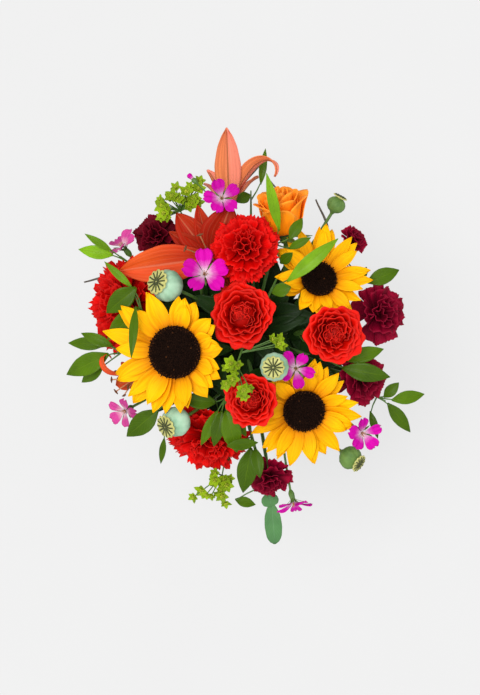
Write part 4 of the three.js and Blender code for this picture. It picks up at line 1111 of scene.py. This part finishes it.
def ease_apart(shoots):
    """Eases the shoots of different plants apart where their pieces come too close."""
    pairs = [(a, b) for a, b in itertools.combinations(shoots, 2) if a["plant"] != b["plant"]]
    for _ in range(EASING_ROUNDS):
        moved = False
        for a, b in pairs:
            room = a["radius"] + b["radius"] + SHOOT_GAP
            if far_apart(a["joints"][a["free"] - 1:], b["joints"][b["free"] - 1:], room):
                continue
            pieces = [range(shoot["free"] - 1, len(shoot["joints"]) - 1) for shoot in (a, b)]
            for i, j in itertools.product(*pieces):
                on_a, on_b = a["joints"][i:i + 2], b["joints"][j:j + 2]
                if far_apart(on_a, on_b, room):
                    continue
                p, q = nearest_points(*on_a, *on_b)
                short = room - norm(p - q)
                if short <= 0:
                    continue
                push = (p - q) / norm(p - q) * short / 2
                for shoot, k, way in ((a, i, 1), (a, i + 1, 1), (b, j, -1), (b, j + 1, -1)):
                    if shoot["free"] <= k < len(shoot["joints"]) - 1:
                        shoot["joints"][k] += push * way
                        moved = True
        if not moved:
            break


for name, plant in PLANTS.items():
    plant.setdefault("blooms", [name] if name in BLOOMS else [])
    plant["ends"] = shoot_ends(**plant)
slots = pack_tie(PLANTS)
shoots = {name: grow_shoots(name, slots[name], plant) for name, plant in PLANTS.items()}
ease_apart([shoot for several in shoots.values() for shoot in several])

# ---- plants

CURVE_STEPS = 6  # points of a smooth path from each joint to the next
STAYS_STRAIGHT = 1.8  # how many times longer than the next a first piece is that stays straight


def smooth_path(joints):
    """A smooth curve through the joints, which stays straight along a long first piece."""
    first = joints[1] - joints[0]
    second_length = norm(joints[2] - joints[1])
    path = []
    if norm(first) > STAYS_STRAIGHT * second_length:
        path = [joints[0] + first * t for t in (0, 0.25, 0.5, 0.75)]
        joints = [joints[1] - unit(first) * second_length, *joints[1:]]
    else:
        joints = [2 * joints[0] - joints[1], *joints]
    joints.append(2 * joints[-1] - joints[-2])
    for a, b, c, d in zip(joints, joints[1:], joints[2:], joints[3:]):
        for t in np.linspace(0, 1, CURVE_STEPS, endpoint=False):
            square, cube = (2 * a - 5 * b + 4 * c - d) * t**2, (3 * b - a - 3 * c + d) * t**3
            path.append(0.5 * (2 * b + (c - a) * t + square + cube))
    path.append(joints[-2])
    return np.array(path)


def nodes_along(joints):
    """Places near a shoot's end that leaves and stalks can grow from."""
    last = joints[-3:]
    return [last[i] + (last[i + 1] - last[i]) * t for i in range(2) for t in (0.3, 0.75)]


def nearest(points, place):
    """The one of these points that is nearest to a place."""
    return min(points, key=lambda p: norm(p - place))


def leaf(growth, start, base, tip, width, skin="leaf", tint=None, droop=0.08, shape=LEAF):
    """A leaf: a stalk from the shoot, then a blade from `base` to `tip`, arched a little."""
    tint = between(0.35, 1.0) if tint is None else tint
    rows, cols = 15, 9
    t = np.linspace(0, 1, rows)[:, None]
    length = norm(tip - base)
    spine = base + (tip - base) * t + UP * 4 * droop * length * t * (1 - t)
    way = np.gradient(spine, axis=0)
    side = unit(np.cross(UP, way))
    face = unit(np.cross(way, side))
    s = np.linspace(-1, 1, cols)[None, :, None]
    w = (shape(t) * width)[:, None]
    ripple = 0.03 * np.sin(9 * t + 5 * tint)[:, None] * np.sign(s)
    trough = 0.14 * np.abs(s) ** 1.3 + ripple * s**2
    grid = spine[:, None] + side[:, None] * s * w / 2 + face[:, None] * w * trough
    growth.blade(grid, skin, tint, 0.45)
    growth.tube([start, start * 0.4 + base * 0.6 + UP * 0.6, spine[1]], [0.9, 0.7, 0.6], "stem", 0.6, 6)


def bud(growth, start, place):
    """A cockle's bud on its own stalk, with its petals still furled."""
    way = unit(place - start)
    tip = Growth()
    tip.turned([[0.9, -7], [2.4, -4.5], [2.8, -1], [1.6, 1]], 14, "sepal", 0.5)
    for turn in around(5, 0, 6):
        grid = arched(7.5, 5.5, 76, 18, SPOON, rows=7, cols=5, cup=0.3)
        tip.blade(about_axis(grid, turn, 1.4, -0.5), "cockle", rng.random(), 0.4)
    tip.stand(way, place)
    growth.take(tip)
    middle = (start + place) / 2 + UP * 4
    growth.tube([start, middle, place - way * 6.5], [0.9, 0.8, 0.7], "stem", 0.6, 6)


def wax_star(growth, start, place, size):
    """A star of pointed bracts under a tiny umbel, on its own stalk."""
    star = Growth()
    for k in range(5):
        grid = arched(size * between(0.85, 1.1), size * 0.72, 24, 10, BRACT, rows=8, cols=7, cup=0.12)
        star.blade(about_axis(grid, 72 * k + between(-8, 8), 0.4, 0), "bract", between(0.4, 1), 0.35)
    profile = [[0.25, 0], [size * 0.1, size * 0.08], [size * 0.1, size * 0.2], [0.2, size * 0.3]]
    for k in range(9):
        bead = Growth()
        bead.turned(profile, 7, "umbel", rng.random())
        spot = leaning(90, GOLDEN * k) * (size * 0.09 * math.sqrt(k)) + UP
        bead.move(lambda p: p + spot)
        star.take(bead)
    star.stand(unit(place - start) + UP, place)
    growth.take(star)
    middle = (start + place) / 2 + UP * 1.0
    growth.tube([start, middle, place], [0.8, 0.6, 0.55], "stem", 0.7, 6)


BUDS = {"cockle_upper": [(-53, 161, 326)]}
YOUNG_LEAVES = {"leafy_left": [3, 4, 5], "leafy_top": [0, 5]}  # by their places in a plant's leaves
BLUE_LEAVES = {"leafy_front": [11, 12]}
STAR_SIZE = 8.5
SMALL_STARS = 3  # round each large one
SLOTS = {"wax": "lime_green", "pod": "pod_green", "bare": "twig_brown", "leafy": "leafy_stem"}

for name, plant in PLANTS.items():
    kind = name.split("_")[0]
    wood = "twig" if kind == "bare" else "stem"
    growth = Growth()
    tint = between(0.3, 0.9)
    for k, shoot in enumerate(shoots[name]):
        path = smooth_path(shoot["joints"])
        sides = 12 if shoot["radius"] > 2.5 else 9
        tip = 1.0 if k < len(plant["blooms"]) else 0.4
        taper = np.interp(np.arange(len(path)), [0, len(path) * 0.7, len(path) - 1], [1.0, 1.0, tip])
        main = k == 0
        growth.tube(path, shoot["radius"] * taper, wood, tint, sides, "cut" if main else None, level=main)
    nodes = [node for shoot in shoots[name] for node in nodes_along(shoot["joints"])]
    for bloom in plant["blooms"]:
        growth.take(calyxes[bloom])
    for k, (base, tip, width) in enumerate(plant.get("leaves", [])):
        base, tip = np.array([base, tip], float)
        young, blue = k in YOUNG_LEAVES.get(name, []), k in BLUE_LEAVES.get(name, [])
        skin = "young_leaf" if young else "blue_leaf" if blue else "leaf"
        leaf(growth, nearest(nodes, base), base, tip, width, skin, shape=OVAL if blue else LEAF)
    for place in np.array(BUDS.get(name, []), float):
        bud(growth, nearest(nodes, place), place)
    for place in np.array(plant.get("stars", []), float):
        start = nearest(nodes, place)
        wax_star(growth, start, place, STAR_SIZE)
        for _ in range(SMALL_STARS):
            aside = np.array([between(-9, 9), between(-9, 9), between(-8, 1)])
            wax_star(growth, start, place + aside, between(5, 7))
    growth.finish(f"{name}_grown", SLOTS.get(kind, "flower_stem"), f"{name}_stem")

# ---- leaves inside the bunch

INNER_LEAVES = 150  # tried, of which those within the crown grow
CROWN_RADIUS = 128.0
CROWN_HEIGHT, CROWN_FALL = 338.0, 0.0021  # how high they may reach on the axis, and how that falls


def crown(x, y):
    """How high the leaves may reach, under a dome."""
    return CROWN_HEIGHT - CROWN_FALL * (x * x + y * y)


def inner_leaves():
    """Leaves that grow from the stems under the blooms, and close the view between them. Their
    near-black green is painted shade inside the bunch.
    """
    growth = Growth()
    hosts = [several[0] for several in shoots.values()]
    for k in range(INNER_LEAVES):
        path = smooth_path(hosts[k % len(hosts)]["joints"])
        start = path[rng.randrange(len(path) // 3, len(path) - 5)]
        turn = between(0, 2 * math.pi)
        outward = np.array([start[0], start[1], 0.0]) / (np.hypot(start[0], start[1]) + 20)
        way = unit(np.array([math.cos(turn), math.sin(turn), 0.0]) + outward * 0.8)
        base = start + way * 8 + UP * 5
        tip = base + way * between(34, 58) + UP * between(4, 26)
        if np.hypot(tip[0], tip[1]) > CROWN_RADIUS:
            continue
        spare = min(crown(*base[:2]) - base[2], crown(*tip[:2]) - tip[2])
        if spare < 0:
            base, tip = base + UP * spare, tip + UP * spare
        leaf(growth, start, base, tip, between(15, 24), "shade_leaf", rng.random(), 0.1)
    growth.finish("inner_foliage", "leafy_stem")


inner_leaves()

# ---- the binding

TWINE = 1.5  # radius of the twine
TWINE_TURNS = 4
SEAT = 0.3  # gap between the twine and the stems
STEM_SECTION = 1.08  # how much wider a slanting stem is where the tie cuts it
PLY_TWIST = 1.1  # radians that the plies turn along one radius of the twine
PLY_OFFSET, PLY_RADIUS = 0.48, 0.6  # as shares of the twine's radius
COIL_STEPS = 160  # points of each turn


def plied(growth, path, radius):
    """Twine of two plies laid round each other along a path."""
    path = np.asarray(path, float)
    tangents = unit(np.gradient(path, axis=0))
    run = np.concatenate([[0], np.cumsum(norm(np.diff(path, axis=0), axis=1))])
    side = unit(np.cross(tangents, UP + 0.01))
    other = np.cross(tangents, side)
    for ply in (0, math.pi):
        angle = (run * PLY_TWIST / radius + ply)[:, None]
        strand = path + radius * PLY_OFFSET * (np.cos(angle) * side + np.sin(angle) * other)
        growth.tube(strand, radius * PLY_RADIUS, "twine", rng.random(), 7)


def binding():
    """The twine wound round the stems, with a knot, two hanging ends and the two loops of its bow."""
    growth = Growth()
    widest = max(norm(slots[name]) + PLANTS[name]["radius"] * STEM_SECTION for name in PLANTS)
    inner = widest * math.hypot(1, TWINE * TWINE_TURNS * SLOPE) + SEAT
    middle_line = inner + TWINE
    t = np.linspace(0, TWINE_TURNS, TWINE_TURNS * COIL_STEPS + 1)
    height = TIE_HEIGHT + TWINE * 2 * (t - TWINE_TURNS / 2) * (TWINE_TURNS - 1) / TWINE_TURNS
    turn = 2 * math.pi * t
    coil = np.stack([middle_line * np.cos(turn), middle_line * np.sin(turn), height], 1)
    plied(growth, coil, TWINE)
    knot = np.array([inner + 3.4, 0, TIE_HEIGHT])
    u = np.linspace(0, 2 * math.pi, 61)
    across, up = np.sin(u) + 2 * np.sin(2 * u), np.cos(u) - 2 * np.cos(2 * u)
    trefoil = np.stack([1.5 * np.cos(3 * u), 1.5 * across, 1.5 * up], 1)
    plied(growth, knot + trefoil, TWINE * 0.9)
    for side in (-1, 1):
        s = np.linspace(0, 1, 70)[:, None]
        middle, end = knot + [12, side * 8, 4], knot + [20, side * 20, -32]
        plied(growth, (1 - s) ** 2 * knot + 2 * s * (1 - s) * middle + s**2 * end, TWINE * 0.95)
        swell = np.sin(math.pi * s)
        loop = np.concatenate([6 * swell + 2 * s, side * 24 * swell * (0.35 + 0.65 * s), -10 * swell * s], 1)
        plied(growth, knot + loop, TWINE * 0.95)
    growth.finish("twine_wound", "twine_tan", "twine_tie")


binding()
